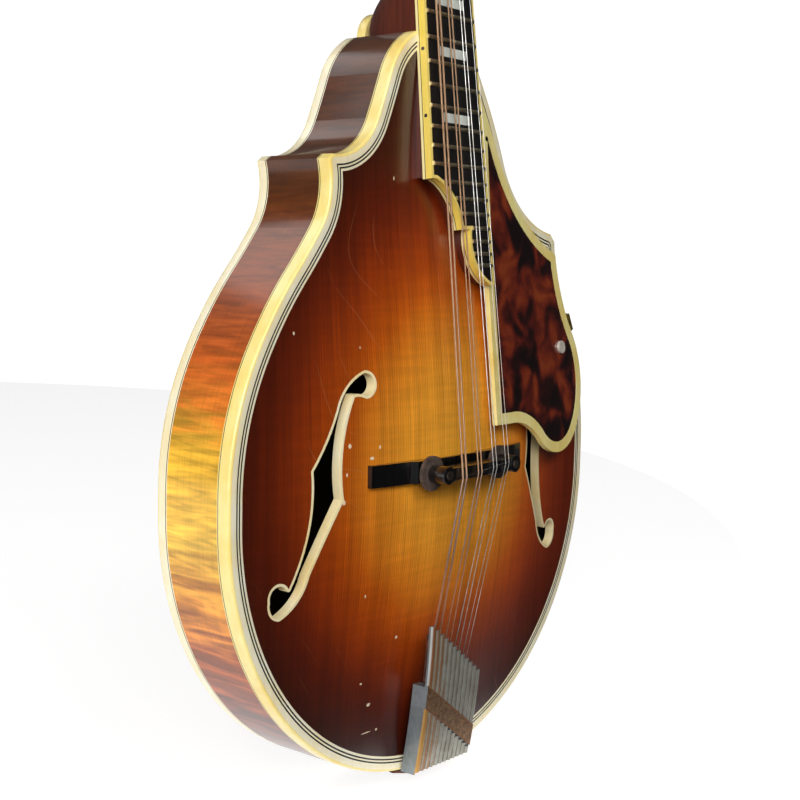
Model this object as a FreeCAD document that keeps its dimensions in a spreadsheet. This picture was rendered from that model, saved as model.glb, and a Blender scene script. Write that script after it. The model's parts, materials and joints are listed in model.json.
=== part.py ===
import FreeCAD, Part
import math
import os
from FreeCAD import Placement, Rotation, Vector

# A carved two-point mandolin. Millimetres, +Z from the tail towards the head, the front facing -Y,
# +X on the treble side. The origin is where the end pin's axis meets the tail, at mid rim depth.

doc = FreeCAD.newDocument("mandolin")
sheet = doc.addObject("Spreadsheet::Sheet", "Sizes")

SIZES = {
    "scale_length": 355.6,
    "board_joint_line": 322.0,
    "board_front": -26.6,
    "neck_pitch": 6.12,
    "saddle_line": 142.6,
    "bout_radius": 130.0,
    "body_length": 335.0,
    "rim_depth": 42.0,
    "rim_thickness": 2.2,
    "top_thickness": 4.5,
    "back_thickness": 4.0,
    "top_rise": 13.5,
    "back_rise": 10.5,
    "binding_width": 4.0,
    "top_binding_depth": 6.85,
    "back_binding_depth": 6.0,
    "purfling_width": 3.2,
    "purfling_depth": 1.6,
    "lining_width": 4.0,
    "f_binding": 1.2,
    "f_hole_shift": 5.0,
    "board_thickness": 5.1,
    "board_binding": 1.5,
    "board_half_joint": 19.2,
    "board_half_nut": 14.45,
    "fret_crown": 1.0,
    "fret_width": 1.9,
    "tang_depth": 1.8,
    "tang_width": 0.6,
    "inlay_depth": 1.0,
    "nut_length": 4.5,
    "nut_height": 1.25,
    "truss_rod_radius": 2.4,
    "heel_cap_thickness": 5.0,
    "cover_thickness": 1.4,
    "head_pitch": 15.0,
    "head_drop": 3.2,
    "overlay_thickness": 2.0,
    "head_thickness": 12.0,
    "head_length": 152.0,
    "post_radius": 2.9,
    "post_pitch": 23.0,
    "post_offset": 20.5,
    "bushing_radius": 4.3,
    "tuner_plate": 1.0,
    "gear_teeth": 14,
    "worm_pitch": 1.75,
    "worm_distance": 6.0,
    "running_gap": 0.06,
    "guard_thickness": 1.6,
    "guard_binding": 5.2,
    "guard_binding_depth": 2.6,
    "stud_spread": 25.5,
    "stud_radius": 2.0,
    "wheel_radius": 7.75,
    "wheel_thickness": 1.8,
    "wheel_centre": -39.6,
    "string_saddle": -49.8,
    "tailpiece_half": 20.5,
    "pin_radius": 4.0,
}
for row, (alias, value) in enumerate(SIZES.items(), start=1):
    sheet.set("A%d" % row, alias.replace("_", " "))
    sheet.set("B%d" % row, str(value))
    sheet.setAlias("B%d" % row, alias)
doc.recompute()


def size(alias):
    return float(sheet.get(alias))


FRONT = -size("rim_depth") / 2
BACK = size("rim_depth") / 2
RADIUS = size("bout_radius")
OUTWARD = Vector(0, -1, 0)
INWARD = Vector(0, 1, 0)
ALONG_X = Vector(1, 0, 0)
ALONG_Z = Vector(0, 0, 1)
parts = []


# ---------------------------------------------------------------- helpers

def flat(x, z, y=0.0):
    """A point of a front view, x across and z up."""
    return Vector(x, y, z)


def turned(vector, angle):
    """A front-view vector turned by an angle in radians."""
    c = math.cos(angle)
    s = math.sin(angle)
    return Vector(vector.x * c - vector.z * s, vector.y, vector.x * s + vector.z * c)


def line(a, b):
    return Part.makeLine(a, b)


def arc(a, b, c):
    return Part.Arc(a, b, c).toShape()


def arc_chain(start, heading, ends):
    """Arcs through the ends, each one leaving in the direction in which the last one arrived."""
    edges = []
    for end in ends:
        chord = end - start
        normal = turned(heading, math.pi / 2)
        side = chord.dot(normal)
        if abs(side) < 1e-6:
            edges.append(line(start, end))
        else:
            half_turn = math.atan2(side, chord.dot(heading))
            centre = start + normal * (chord.dot(chord) / (2 * side))
            middle = centre + turned(start - centre, half_turn)
            edges.append(arc(start, middle, end))
            heading = turned(heading, 2 * half_turn)
        start = end
    return edges


def heading_at_end(edge):
    """The upward direction in which an arc arrives."""
    tangent = edge.tangentAt(edge.LastParameter)
    return tangent if tangent.z > 0 else tangent * -1


def closed(edges):
    return Part.Wire(Part.__sortEdges__(edges))


def polygon(points):
    return Part.makePolygon(points + [points[0]])


def circle(radius, x, z):
    return Part.Wire(Part.makeCircle(radius, flat(x, z), INWARD))


def inset(wire, distance, join=2):
    return wire.makeOffset2D(-distance, join)


def lifted(wire, y):
    copy = wire.copy()
    copy.translate(Vector(0, y, 0))
    return copy


def prism(wire, front, back):
    """The solid of a front-view outline between two depths."""
    return Part.Face(lifted(wire, front)).extrude(Vector(0, back - front, 0))


def ring(outer, inner, front, back):
    return prism(outer, front, back).cut(prism(inner, front - 1, back + 1))


def box(low, high):
    return Part.makeBox(high[0] - low[0], high[1] - low[1], high[2] - low[2], Vector(*low))


def rod(radius, start, end):
    return Part.makeCylinder(radius, (end - start).Length, start, end - start)


def group(solids):
    return Part.makeCompound(solids)


def tidy(shape):
    """A single solid comes out of its compound, so that it is one clean body."""
    return shape.Solids[0] if len(shape.Solids) == 1 else group(shape.Solids)


def largest(shape):
    return max(shape.Solids, key=lambda solid: solid.Volume)


def keep(label, shape, placement=Placement()):
    """A sub-part whose shape is worked out with Part's functions."""
    solid = tidy(shape)
    feature = doc.addObject("Part::Feature", label)
    feature.Label = label
    feature.Shape = solid
    feature.Placement = placement.multiply(solid.Placement)
    parts.append(feature)
    return feature


def geometry(wire):
    """The sketch lines and arcs of a front-view outline, in the sketch's own x and y."""
    result = []
    for edge in wire.OrderedEdges:
        a = edge.valueAt(edge.FirstParameter)
        b = edge.valueAt(edge.LastParameter)
        if isinstance(edge.Curve, Part.Line):
            result.append(Part.LineSegment(Vector(a.x, a.z, 0), Vector(b.x, b.z, 0)))
        elif edge.isClosed():
            c = edge.Curve.Center
            result.append(Part.Circle(Vector(c.x, c.z, 0), Vector(0, 0, 1), edge.Curve.Radius))
        else:
            m = edge.valueAt((edge.FirstParameter + edge.LastParameter) / 2)
            result.append(Part.Arc(Vector(a.x, a.z, 0), Vector(m.x, m.z, 0), Vector(b.x, b.z, 0)))
    return result


def new_sketch(body, name, wires):
    """A sketch on the body's front plane."""
    sketch = body.newObject("Sketcher::SketchObject", name)
    plane = [f for f in body.Origin.OriginFeatures if f.Role == "XZ_Plane"][0]
    sketch.AttachmentSupport = [(plane, "")]
    sketch.MapMode = "FlatFace"
    for wire in wires:
        sketch.addGeometry(geometry(wire), False)
    return sketch


def padded(label, wires, length, front=0.0, placement=None):
    """A sub-part cut to an outline: a body whose pad runs backwards from the sketch plane."""
    body = doc.addObject("PartDesign::Body", label)
    body.Label = label
    pad = body.newObject("PartDesign::Pad", label + "_pad")
    pad.Profile = new_sketch(body, label + "_outline", wires)
    pad.Reversed = True
    pad.setExpression("Length", "Sizes." + length)
    body.Tip = pad
    body.Placement = placement if placement else Placement(Vector(0, front, 0), Rotation())
    parts.append(body)
    return body


def pocketed(body, name, wires, depth):
    """A pocket sunk into the front face of a padded sub-part, checked by volume."""
    doc.recompute()
    before = body.Shape.Volume
    pocket = body.newObject("PartDesign::Pocket", name)
    pocket.Profile = new_sketch(body, name + "_outline", wires)
    pocket.setExpression("Length", "Sizes." + depth)
    body.Tip = pocket
    doc.recompute()
    if body.Shape.Volume > before - 1.0:
        raise ValueError(name + " cuts nothing")


# ---------------------------------------------------------------- body outline

BASS_POINT = [flat(-75.2, 276.2), flat(-72.3, 278.3)]
TREBLE_POINT = [flat(97.5, 246.0), flat(93.5, 250.0)]
NECK_HALF = 19.0


def body_outline():
    """The body seen from the front: a round lower bout, a high bass point and a low treble point."""
    top = size("body_length")
    tail = arc(flat(RADIUS, RADIUS), flat(0, 0), flat(-RADIUS, RADIUS))
    bass_waist = [flat(-130, 140), flat(-115.7, 197.5), flat(-93.3, 230.4), flat(-79.7, 247.6)]
    treble_waist = [flat(130, 140), flat(115.7, 197.5), flat(106.3, 215)]
    bass_sweep = arc(BASS_POINT[1], flat(-54, 283.8), flat(-44.6, 295.5))
    treble_sweep = arc(TREBLE_POINT[1], flat(68, 260.5), flat(50, 283))
    edges = [tail]
    edges += arc_chain(flat(-RADIUS, RADIUS), ALONG_Z, bass_waist + [BASS_POINT[0]])
    edges += [line(*BASS_POINT), bass_sweep]
    edges += arc_chain(
        flat(-44.6, 295.5), heading_at_end(bass_sweep), [flat(-36.5, 315.5), flat(-NECK_HALF, top)]
    )
    edges.append(line(flat(-NECK_HALF, top), flat(NECK_HALF, top)))
    edges += arc_chain(flat(RADIUS, RADIUS), ALONG_Z, treble_waist + [TREBLE_POINT[0]])
    edges += [line(*TREBLE_POINT), treble_sweep]
    edges += arc_chain(
        flat(50, 283), heading_at_end(treble_sweep), [flat(37, 308), flat(NECK_HALF, top)]
    )
    return closed(edges)


OUTLINE = body_outline()
BINDING_INNER = inset(OUTLINE, size("binding_width"))
PURFLING_INNER = inset(OUTLINE, size("binding_width") + size("purfling_width"))
RIM_INNER = inset(OUTLINE, size("rim_thickness"))
LINING_INNER = inset(OUTLINE, size("binding_width") + size("lining_width"))


# ---------------------------------------------------------------- arched plates

GRID = 8.0
COLUMNS = 36
ROWS = 44
GRID_LEFT = -140.0
GRID_LOW = -4.0
SWEEPS = 160
OVER_RELAXATION = 1.86


def membrane(wire):
    """Heights of a soap film blown up over the outline, from 0 at the edge to 1 at the bridge."""
    rim = [p for edge in wire.OrderedEdges for p in edge.discretize(10)[:-1]]
    crossings = []
    for row in range(ROWS):
        z = GRID_LOW + row * GRID
        hits = []
        for a, b in zip(rim, rim[1:] + rim[:1]):
            if (a.z > z) != (b.z > z):
                hits.append(a.x + (b.x - a.x) * (z - a.z) / (b.z - a.z))
        crossings.append(sorted(hits))
    inside = [
        [
            sum(hit < GRID_LEFT + column * GRID for hit in crossings[row]) % 2 == 1
            for row in range(ROWS)
        ]
        for column in range(COLUMNS)
    ]
    film = [[0.0] * ROWS for _ in range(COLUMNS)]
    for _ in range(SWEEPS):
        for i in range(1, COLUMNS - 1):
            for j in range(1, ROWS - 1):
                if inside[i][j]:
                    around = film[i - 1][j] + film[i + 1][j] + film[i][j - 1] + film[i][j + 1]
                    film[i][j] += OVER_RELAXATION * ((around + 1.0) / 4 - film[i][j])
    peak = max(max(column) for column in film)
    return [[value / peak for value in column] for column in film]


def arched_face(film, edge_depth, rise):
    """The plate's outer surface: flat at the rim, then swelling with the square of the film."""
    points = [
        [
            flat(GRID_LEFT + i * GRID, GRID_LOW + j * GRID, edge_depth + rise * max(film[i][j], 0.0) ** 2)
            for j in range(ROWS)
        ]
        for i in range(COLUMNS)
    ]
    surface = Part.BSplineSurface()
    surface.interpolate(points)
    return surface.toShape()


def slab(face, near, far):
    """The layer between two depths behind an arched surface."""
    copy = face.copy()
    copy.translate(Vector(0, near, 0))
    return copy.extrude(Vector(0, far - near, 0))


TOP_FACE = arched_face(membrane(PURFLING_INNER), FRONT, -size("top_rise"))
BACK_FACE = arched_face(membrane(BINDING_INNER), BACK, size("back_rise"))


def top_depth(x, z):
    """The depth of the top's outer surface at a point of the front view."""
    sight = line(flat(x, z, FRONT - 40), flat(x, z, FRONT + 5))
    return sight.distToShape(TOP_FACE)[1][0][1].y


# ---------------------------------------------------------------- f-holes

def f_hole():
    """The outer edge of the bass f-hole's binding: two eyes, two nicks and two swelling stems."""
    points = {
        "eye_top": flat(-58.1, 188.6),
        "upper_stem": flat(-73.5, 172.5),
        "outer_nick": flat(-87.1, 148.4),
        "lower_eye_in": flat(-97.4, 100.6),
        "lower_eye_out": flat(-108.5, 96.5),
        "eye_foot": flat(-101.8, 87.9),
        "lower_stem": flat(-86.5, 104.4),
        "inner_nick": flat(-69.6, 134.6),
        "upper_eye_in": flat(-63.4, 177.6),
        "upper_eye_foot": flat(-57.2, 176.6),
    }
    bulges = [
        flat(-66.6, 183.6), flat(-79.2, 160.6), flat(-88.4, 124.0), flat(-103.6, 103.6), flat(-106.9, 90.4),
        flat(-93.0, 93.2), flat(-78.6, 119.0), flat(-70.2, 156.0), flat(-60.4, 177.6), flat(-51.1, 182.4),
    ]
    corners = list(points.values())
    return closed([arc(a, m, b) for a, m, b in zip(corners, bulges, corners[1:] + corners[:1])])


def mirrored_wire(wire, shift):
    """The outline on the treble side, moved towards the centre by the shift."""
    return wire.mirror(Vector(0, 0, 0), ALONG_X).translated(Vector(-shift, 0, 0))


F_OUTER = f_hole()
F_INNER = inset(F_OUTER, size("f_binding"), 0)
F_PAIRS = [
    (F_OUTER, F_INNER),
    (mirrored_wire(F_OUTER, size("f_hole_shift")), mirrored_wire(F_INNER, size("f_hole_shift"))),
]
DEEP = FRONT - 30
SHALLOW = 0.0


# ---------------------------------------------------------------- fingerboard outline

NUT_END = size("scale_length") / 2
BOARD_TAPER = (size("board_half_joint") - size("board_half_nut")) / NUT_END
BOARD_FRAME = Placement(
    Vector(0, size("board_front"), size("board_joint_line")), Rotation(ALONG_X, -size("neck_pitch"))
)


def board_half(z):
    """Half the fingerboard's width, measured along the board from the 12th fret."""
    return size("board_half_joint") - BOARD_TAPER * z


def board_outline(top):
    """The fingerboard with its end cut in two steps down to the last fret on the treble side."""
    bass_corner = -51.2
    treble_end = -97.8
    step_low = flat(-0.3, -72.9)
    step_high = flat(5.5, -72.6)
    return closed([
        line(flat(-board_half(top), top), flat(-board_half(bass_corner), bass_corner)),
        line(flat(-board_half(bass_corner), bass_corner), flat(-17.0, bass_corner)),
        arc(flat(-17.0, bass_corner), flat(-6.9, -58.0), step_low),
        line(step_low, step_high),
        arc(step_high, flat(8.6, -89.6), flat(19.0, treble_end)),
        line(flat(19.0, treble_end), flat(board_half(treble_end), treble_end)),
        line(flat(board_half(treble_end), treble_end), flat(board_half(top), top)),
        line(flat(board_half(top), top), flat(-board_half(top), top)),
    ])


BOARD = board_outline(NUT_END)
BOARD_WOOD = inset(board_outline(NUT_END + size("board_binding")), size("board_binding"))


def fret_place(number):
    """The distance of a fret along the board from the 12th fret."""
    return size("scale_length") * (2 ** (-number / 12) - 0.5)


def fret_span(z):
    """The left and right ends of the dark wood at one fret."""
    cut = line(flat(-40, z), flat(40, z)).common(Part.Face(BOARD_WOOD))
    return cut.BoundBox.XMin, cut.BoundBox.XMax


FRETS = [(fret_place(n),) + fret_span(fret_place(n)) for n in range(1, 25)]


# ---------------------------------------------------------------- body sub-parts

def make_plates():
    plate = slab(TOP_FACE, 0, size("top_thickness")).common(prism(BINDING_INNER, DEEP, SHALLOW))
    plate = plate.cut(ring(BINDING_INNER, PURFLING_INNER, FRONT - 2, FRONT + size("purfling_depth")))
    for outer, _ in F_PAIRS:
        plate = plate.cut(prism(outer, DEEP, SHALLOW))
    keep("top_plate", plate.cut(NECK_NOTCH))
    back = slab(BACK_FACE, -size("back_thickness"), 0)
    keep("back_plate", back.common(prism(BINDING_INNER, SHALLOW, BACK + 30)))
    bands = [
        slab(TOP_FACE, 0, size("top_thickness")).common(prism(outer, DEEP, SHALLOW).cut(prism(hole, DEEP, SHALLOW)))
        for outer, hole in F_PAIRS
    ]
    keep("f_hole_bindings", group(bands))


def make_rim():
    rib_width = "rim_depth - Sizes.top_binding_depth - Sizes.back_binding_depth"
    padded("ribs", [OUTLINE, RIM_INNER], rib_width, TOP_LEDGE)
    padded("back_binding", [OUTLINE, BINDING_INNER], "back_binding_depth", BACK_LEDGE)
    keep("top_binding", ring(OUTLINE, BINDING_INNER, FRONT, TOP_LEDGE).cut(NECK_NOTCH))
    purfling = ring(BINDING_INNER, PURFLING_INNER, FRONT, FRONT + size("purfling_depth"))
    keep("top_purfling", purfling.cut(NECK_NOTCH))


LINING_REACH = 12.0
GLUE_GAP = 0.15
TOP_SEAT = FRONT + size("top_thickness") + GLUE_GAP
BACK_SEAT = BACK - size("back_thickness") - GLUE_GAP
TOP_LEDGE = FRONT + size("top_binding_depth")
BACK_LEDGE = BACK - size("back_binding_depth")


def lining(ledge, seat, inner_face):
    """A kerfed lining: a ledge under the binding and a step that carries the plate."""
    outer = ring(RIM_INNER, BINDING_INNER, min(ledge, inner_face), max(ledge, inner_face))
    inner = ring(BINDING_INNER, LINING_INNER, min(seat, inner_face), max(seat, inner_face))
    return outer.fuse(inner).removeSplitter()


def make_linings():
    top = lining(TOP_LEDGE, TOP_SEAT, TOP_SEAT + LINING_REACH)
    back = lining(BACK_LEDGE, BACK_SEAT, BACK_SEAT - LINING_REACH)
    keep("linings", group([top, back]))
    blocks = [
        box((-24, TOP_SEAT, 306), (24, BACK_SEAT, 340)),
        box((-32, TOP_SEAT, -2), (32, BACK_SEAT, 20)),
        box((-86, TOP_SEAT, 256), (-62, BACK_SEAT, 284)),
        box((74, TOP_SEAT, 230), (102, BACK_SEAT, 256)),
    ]
    room = prism(BINDING_INNER, TOP_SEAT, BACK_SEAT).fuse(prism(RIM_INNER, TOP_LEDGE, BACK_LEDGE))
    room = room.cut(top).cut(back)
    keep("body_blocks", group([largest(room.common(block)) for block in blocks]))


def make_tone_bars():
    depth = 9.0
    under = slab(TOP_FACE, size("top_thickness"), size("top_thickness") + depth)
    bars = []
    for side in (-1, 1):
        bar = box((-3, DEEP, 55), (3, SHALLOW, 262))
        bar.rotate(Vector(0, 0, 142), INWARD, side * 3.5)
        bar.translate(Vector(side * 26, 0, 0))
        bars.append(under.common(bar))
    keep("tone_bars", group(bars))


# ---------------------------------------------------------------- neck and headstock

HEAD_FRAME = BOARD_FRAME.multiply(Placement(
    Vector(0, size("head_drop"), NUT_END + size("nut_length")), Rotation(ALONG_X, -size("head_pitch"))
))
HEAD_BACK = size("overlay_thickness") + size("head_thickness")
POSTS = [
    (side, 40.0 + size("post_pitch") * row)
    for side in (-1, 1)
    for row in range(4)
]


def head_outline():
    """The headstock seen square on: a taper under a shallow pointed crown."""
    root = size("board_half_nut")
    bass = [
        arc(flat(-root, 0), flat(-18.6, 14.5), flat(-31.5, 25)),
        line(flat(-31.5, 25), flat(-27.5, 132)),
        arc(flat(-27.5, 132), flat(-20, 143), flat(-9, 143)),
        arc(flat(-9, 143), flat(-4, 146), flat(0, size("head_length"))),
    ]
    treble = [edge.mirror(Vector(0, 0, 0), ALONG_X) for edge in bass]
    return closed(bass + treble + [line(flat(root, 0), flat(-root, 0))])


HEAD = head_outline()
COVER_SCREWS = [(0.0, 20.5), (-6.6, 4.0), (6.6, 4.0)]
COVER_SCREW_RADIUS = 1.1
WINDOW_HALF = 4.4


def board_back(z):
    """The depth of the fingerboard's back face at a height on the centre line."""
    slope = math.tan(math.radians(size("neck_pitch")))
    thickness = size("board_thickness") / math.cos(math.radians(size("neck_pitch")))
    return size("board_front") - slope * (size("board_joint_line") - z) + thickness


HEEL_BACK = 15.5
HEEL_FRONT_Z = size("body_length")


def heel_share(z):
    """How far the neck's back has swollen into the heel: 1 at the cap, 0 on the plain neck."""
    start = HEEL_FRONT_Z + 6
    length = 34.0
    way = min(max((z - start) / length, 0.0), 1.0)
    return (0.5 + 0.5 * math.cos(math.pi * way)) ** 1.3


def neck_section(z):
    """Points round the neck's D shape at one height, from bass to treble edge."""
    share = heel_share(z)
    along = (z - HEEL_FRONT_Z) / NECK_RUN
    half = 18.8 - 4.4 * along
    front = board_back(z)
    plain = front + 15.4 - 2.2 * along
    back = plain + (HEEL_BACK - plain) * share
    power = 0.9 - 0.25 * share
    count = 18
    points = []
    for step in range(count + 1):
        angle = math.pi * step / count
        across = math.copysign(abs(math.cos(angle)) ** power, math.cos(angle))
        points.append(flat(-half * across, z, front + (back - front) * math.sin(angle) ** power))
    return points


NECK_RUN = 168.0
NECK_STATIONS = 22


def neck_shaft():
    """The neck from the body joint to the nut, swelling into the heel."""
    rows = [neck_section(HEEL_FRONT_Z + NECK_RUN * k / (NECK_STATIONS - 1)) for k in range(NECK_STATIONS)]
    surface = Part.BSplineSurface()
    surface.interpolate(rows)
    back = surface.toShape()
    ends = [edge for edge in back.Edges if edge.BoundBox.ZLength < 0.01]
    sides = [edge for edge in back.Edges if edge.BoundBox.ZLength > 1]
    straight = [line(row[0], row[-1]) for row in (rows[0], rows[-1])]
    faces = [back, Part.Face(closed(sides + straight))]
    for edge in ends:
        near = [chord for chord in straight if abs(chord.BoundBox.ZMin - edge.BoundBox.ZMin) < 0.1]
        faces.append(Part.Face(closed([edge] + near)))
    shell = Part.Shell(faces)
    shell.sewShape()
    solid = Part.Solid(shell)
    if solid.Volume < 0:
        solid.reverse()
    return solid


def riser():
    """The neck's tongue that carries the fingerboard over the top, let 1 mm into the plate."""
    tongue = prism(inset(BOARD, 1.0), size("board_thickness"), 40)
    tongue.Placement = BOARD_FRAME
    return tongue.common(box((-40, -60, 200), (40, FRONT + 1.0, HEEL_FRONT_Z)))


def in_frame(shape, frame):
    copy = shape.copy()
    copy.Placement = frame.multiply(copy.Placement)
    return copy


BOARD_SOLID = in_frame(prism(BOARD, -3, size("board_thickness")), BOARD_FRAME)
NECK_NOTCH = riser().fuse(BOARD_SOLID)
ROD_REACH = (15.0, NUT_END + size("nut_length") + 11.5)
ROD_DEPTH = size("board_thickness") + size("truss_rod_radius") + 3.0


def truss_channel():
    """The rod's round channel, closed so that the rod fills it."""
    low, high = ROD_REACH
    return rod(size("truss_rod_radius"), flat(0, low, ROD_DEPTH), flat(0, high, ROD_DEPTH))


def truss_rod():
    """The steel rod in its channel under the board, with its hexagonal adjusting nut."""
    low = ROD_REACH[1] - 7
    hexagon = []
    for corner in range(6):
        turn = math.radians(60 * corner)
        hexagon.append(Vector(3.4 * math.cos(turn), ROD_DEPTH + 3.4 * math.sin(turn), low))
    nut = Part.Face(polygon(hexagon)).extrude(Vector(0, 0, 6))
    return truss_channel().fuse(nut)


def make_neck():
    head = prism(HEAD, size("overlay_thickness"), HEAD_BACK)
    for side, z in POSTS:
        x = side * size("post_offset")
        head = head.cut(rod(size("bushing_radius"), flat(x, z, 0), flat(x, z, 7)))
        head = head.cut(rod(size("post_radius") + 0.4, flat(x, z, 0), flat(x, z, 20)))
    head = in_frame(head, HEAD_FRAME)
    top = ROD_REACH[1]
    pocket = box((-WINDOW_HALF, ROD_DEPTH - 12, top - 9.5), (WINDOW_HALF, ROD_DEPTH + 4.4, top + 3))
    board = box((-30, -20, -120), (30, size("board_thickness"), NUT_END + size("nut_length")))
    neck = neck_shaft().fuse(riser()).fuse(head)
    neck = neck.cut(in_frame(board, BOARD_FRAME))
    neck = neck.cut(in_frame(prism(HEAD, -6, size("overlay_thickness")), HEAD_FRAME))
    keep("neck", neck.cut(in_frame(truss_channel().fuse(pocket), BOARD_FRAME)))
    keep("truss_rod", truss_rod(), BOARD_FRAME)


def make_heel_cap():
    """The ivoroid cap on the heel's back, flush with the back binding."""
    outline = closed([
        line(flat(-11.5, HEEL_FRONT_Z), flat(11.5, HEEL_FRONT_Z)),
        arc(flat(11.5, HEEL_FRONT_Z), flat(8.0, HEEL_FRONT_Z + 10), flat(0, HEEL_FRONT_Z + 13.5)),
        arc(flat(0, HEEL_FRONT_Z + 13.5), flat(-8.0, HEEL_FRONT_Z + 10), flat(-11.5, HEEL_FRONT_Z)),
    ])
    padded("heel_cap", [outline], "heel_cap_thickness", HEEL_BACK)


def make_board():
    board = padded("fingerboard", [BOARD_WOOD], "board_thickness", placement=BOARD_FRAME)
    half = size("tang_width") / 2
    slots = [
        polygon([flat(a, z - half), flat(b, z - half), flat(b, z + half), flat(a, z + half)])
        for z, a, b in FRETS
    ]
    pocketed(board, "fret_slots", slots, "tang_depth")
    pocketed(board, "block_pockets", [block_outline(n) for n in BLOCK_FRETS], "inlay_depth")
    binding = prism(BOARD, 0, size("board_thickness")).cut(prism(BOARD_WOOD, -1, 10))
    dots = side_dots()
    keep("fingerboard_binding", binding.cut(group(dots)), BOARD_FRAME)
    blocks = [prism(block_outline(n), 0, size("inlay_depth")) for n in BLOCK_FRETS]
    keep("position_markers", group(blocks + dots), BOARD_FRAME)
    frets = []
    for z, a, b in FRETS:
        radius = (size("fret_width") ** 2 / 4 + size("fret_crown") ** 2) / (2 * size("fret_crown"))
        crown = Part.makeCylinder(radius, b - a, flat(a, z, radius - size("fret_crown")), ALONG_X)
        crown = crown.common(box((a - 1, -5, z - 5), (b + 1, 0, z + 5)))
        tang = box((a, -0.01, z - half), (b, size("tang_depth"), z + half))
        frets.append(crown.fuse(tang).common(prism(BOARD_WOOD, -5, 5)))
    keep("frets", group(frets), BOARD_FRAME)


BLOCK_FRETS = [3, 5, 7, 10, 12, 15]
BLOCK_HALF = (10.2, 2.1)


def space_centre(number):
    return (fret_place(number) + fret_place(number - 1)) / 2


def block_outline(number):
    """The pearl block in the middle of the space before a fret."""
    z = space_centre(number)
    half_x, half_z = BLOCK_HALF
    return polygon([
        flat(-half_x, z - half_z), flat(half_x, z - half_z), flat(half_x, z + half_z), flat(-half_x, z + half_z)
    ])


def side_dots():
    """The dots let into the binding's bass side."""
    dots = []
    for number in BLOCK_FRETS:
        z = space_centre(number)
        edge = -board_half(z)
        dots.append(rod(0.9, flat(edge - 0.02, z, 1.9), flat(edge + 1.0, z, 1.9)))
    return dots


def make_nut():
    low = NUT_END
    high = NUT_END + size("nut_length")
    half = size("board_half_nut")
    nut = box((-half, -size("nut_height"), low), (half, size("head_drop"), high))
    keep("nut", nut.makeFillet(0.8, [e for e in nut.Edges if abs(e.BoundBox.YMax + size("nut_height")) < 0.01
                                     and abs(e.BoundBox.YMin + size("nut_height")) < 0.01]), BOARD_FRAME)


def make_head():
    holes = [circle(size("bushing_radius"), side * size("post_offset"), z) for side, z in POSTS]
    window = polygon([
        flat(-WINDOW_HALF, 1.5), flat(WINDOW_HALF, 1.5), flat(WINDOW_HALF, 13), flat(-WINDOW_HALF, 13)
    ])
    padded("headstock_overlay", [HEAD, window] + holes, "overlay_thickness", placement=HEAD_FRAME)
    bell = closed([
        line(flat(-9, 0.4), flat(9, 0.4)),
        arc(flat(9, 0.4), flat(8.8, 9), flat(5, 17)),
        arc(flat(5, 17), flat(2.6, 23), flat(0, 26)),
        arc(flat(0, 26), flat(-2.6, 23), flat(-5, 17)),
        arc(flat(-5, 17), flat(-8.8, 9), flat(-9, 0.4)),
    ])
    screw_holes = [circle(COVER_SCREW_RADIUS, x, z) for x, z in COVER_SCREWS]
    place = Placement(Vector(0, -size("cover_thickness"), 0), Rotation())
    padded("truss_rod_cover", [bell] + screw_holes, "cover_thickness", placement=HEAD_FRAME.multiply(place))


# ---------------------------------------------------------------- tuners

SHAFT_RADIUS = 1.5
COLLAR_START = 12.5
BUTTON_HALF = (8.0, 6.4)
BUTTON_DEPTH = 6.4
WORM_CORE = 1.6
WORM_OUTER = 2.6
GEAR_DEPTH = HEAD_BACK + size("tuner_plate") + 2.8
EAR_OFFSET = 5.3
EAR_THICKNESS = 1.2


def gear():
    """A 14-tooth pinion that runs in the worm, a tooth gap facing it."""
    teeth = int(size("gear_teeth"))
    root = size("worm_distance") - WORM_OUTER - 0.15
    tip = size("worm_distance") - WORM_CORE - 0.2
    root_half = 0.42
    tip_half = 0.2
    points = []
    for k in range(teeth):
        angle = 2 * math.pi * (k + 0.5) / teeth
        for radius, half in ((root, -root_half), (tip, -tip_half), (tip, tip_half), (root, root_half)):
            turn = angle + half / radius
            points.append(flat(radius * math.sin(turn), radius * math.cos(turn)))
    return prism(polygon(points), -1.2, 1.2)


def string_post():
    """A post with its waist, string hole, collar, pinion and the pinion's screw."""
    radius = size("post_radius")
    top = -15.5
    profile = [
        (0, top), (radius - 0.5, top), (radius, top + 0.6), (radius, top + 4.0), (radius - 0.7, top + 5.5),
        (radius - 0.7, top + 9.0), (radius, top + 10.5), (radius, GEAR_DEPTH - 1.2), (0, GEAR_DEPTH - 1.2),
    ]
    wire = polygon([Vector(r, y, 0) for r, y in profile])
    post = Part.Face(wire).revolve(Vector(0, 0, 0), INWARD, 360)
    hole = rod(0.8, flat(-5, 0, top + 7.2), flat(5, 0, top + 7.2))
    stub = rod(1.4, flat(0, 0, GEAR_DEPTH - 1.2), flat(0, 0, GEAR_DEPTH + 1.2))
    wheel = gear().translated(Vector(0, GEAR_DEPTH, 0)).cut(stub)
    head = rod(2.4, flat(0, 0, GEAR_DEPTH + 1.2), flat(0, 0, GEAR_DEPTH + 2.2))
    slot = box((-3, GEAR_DEPTH + 1.7, -0.3), (3, GEAR_DEPTH + 3, 0.3))
    return group([post.cut(hole).fuse(stub), wheel, head.cut(slot)])


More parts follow.
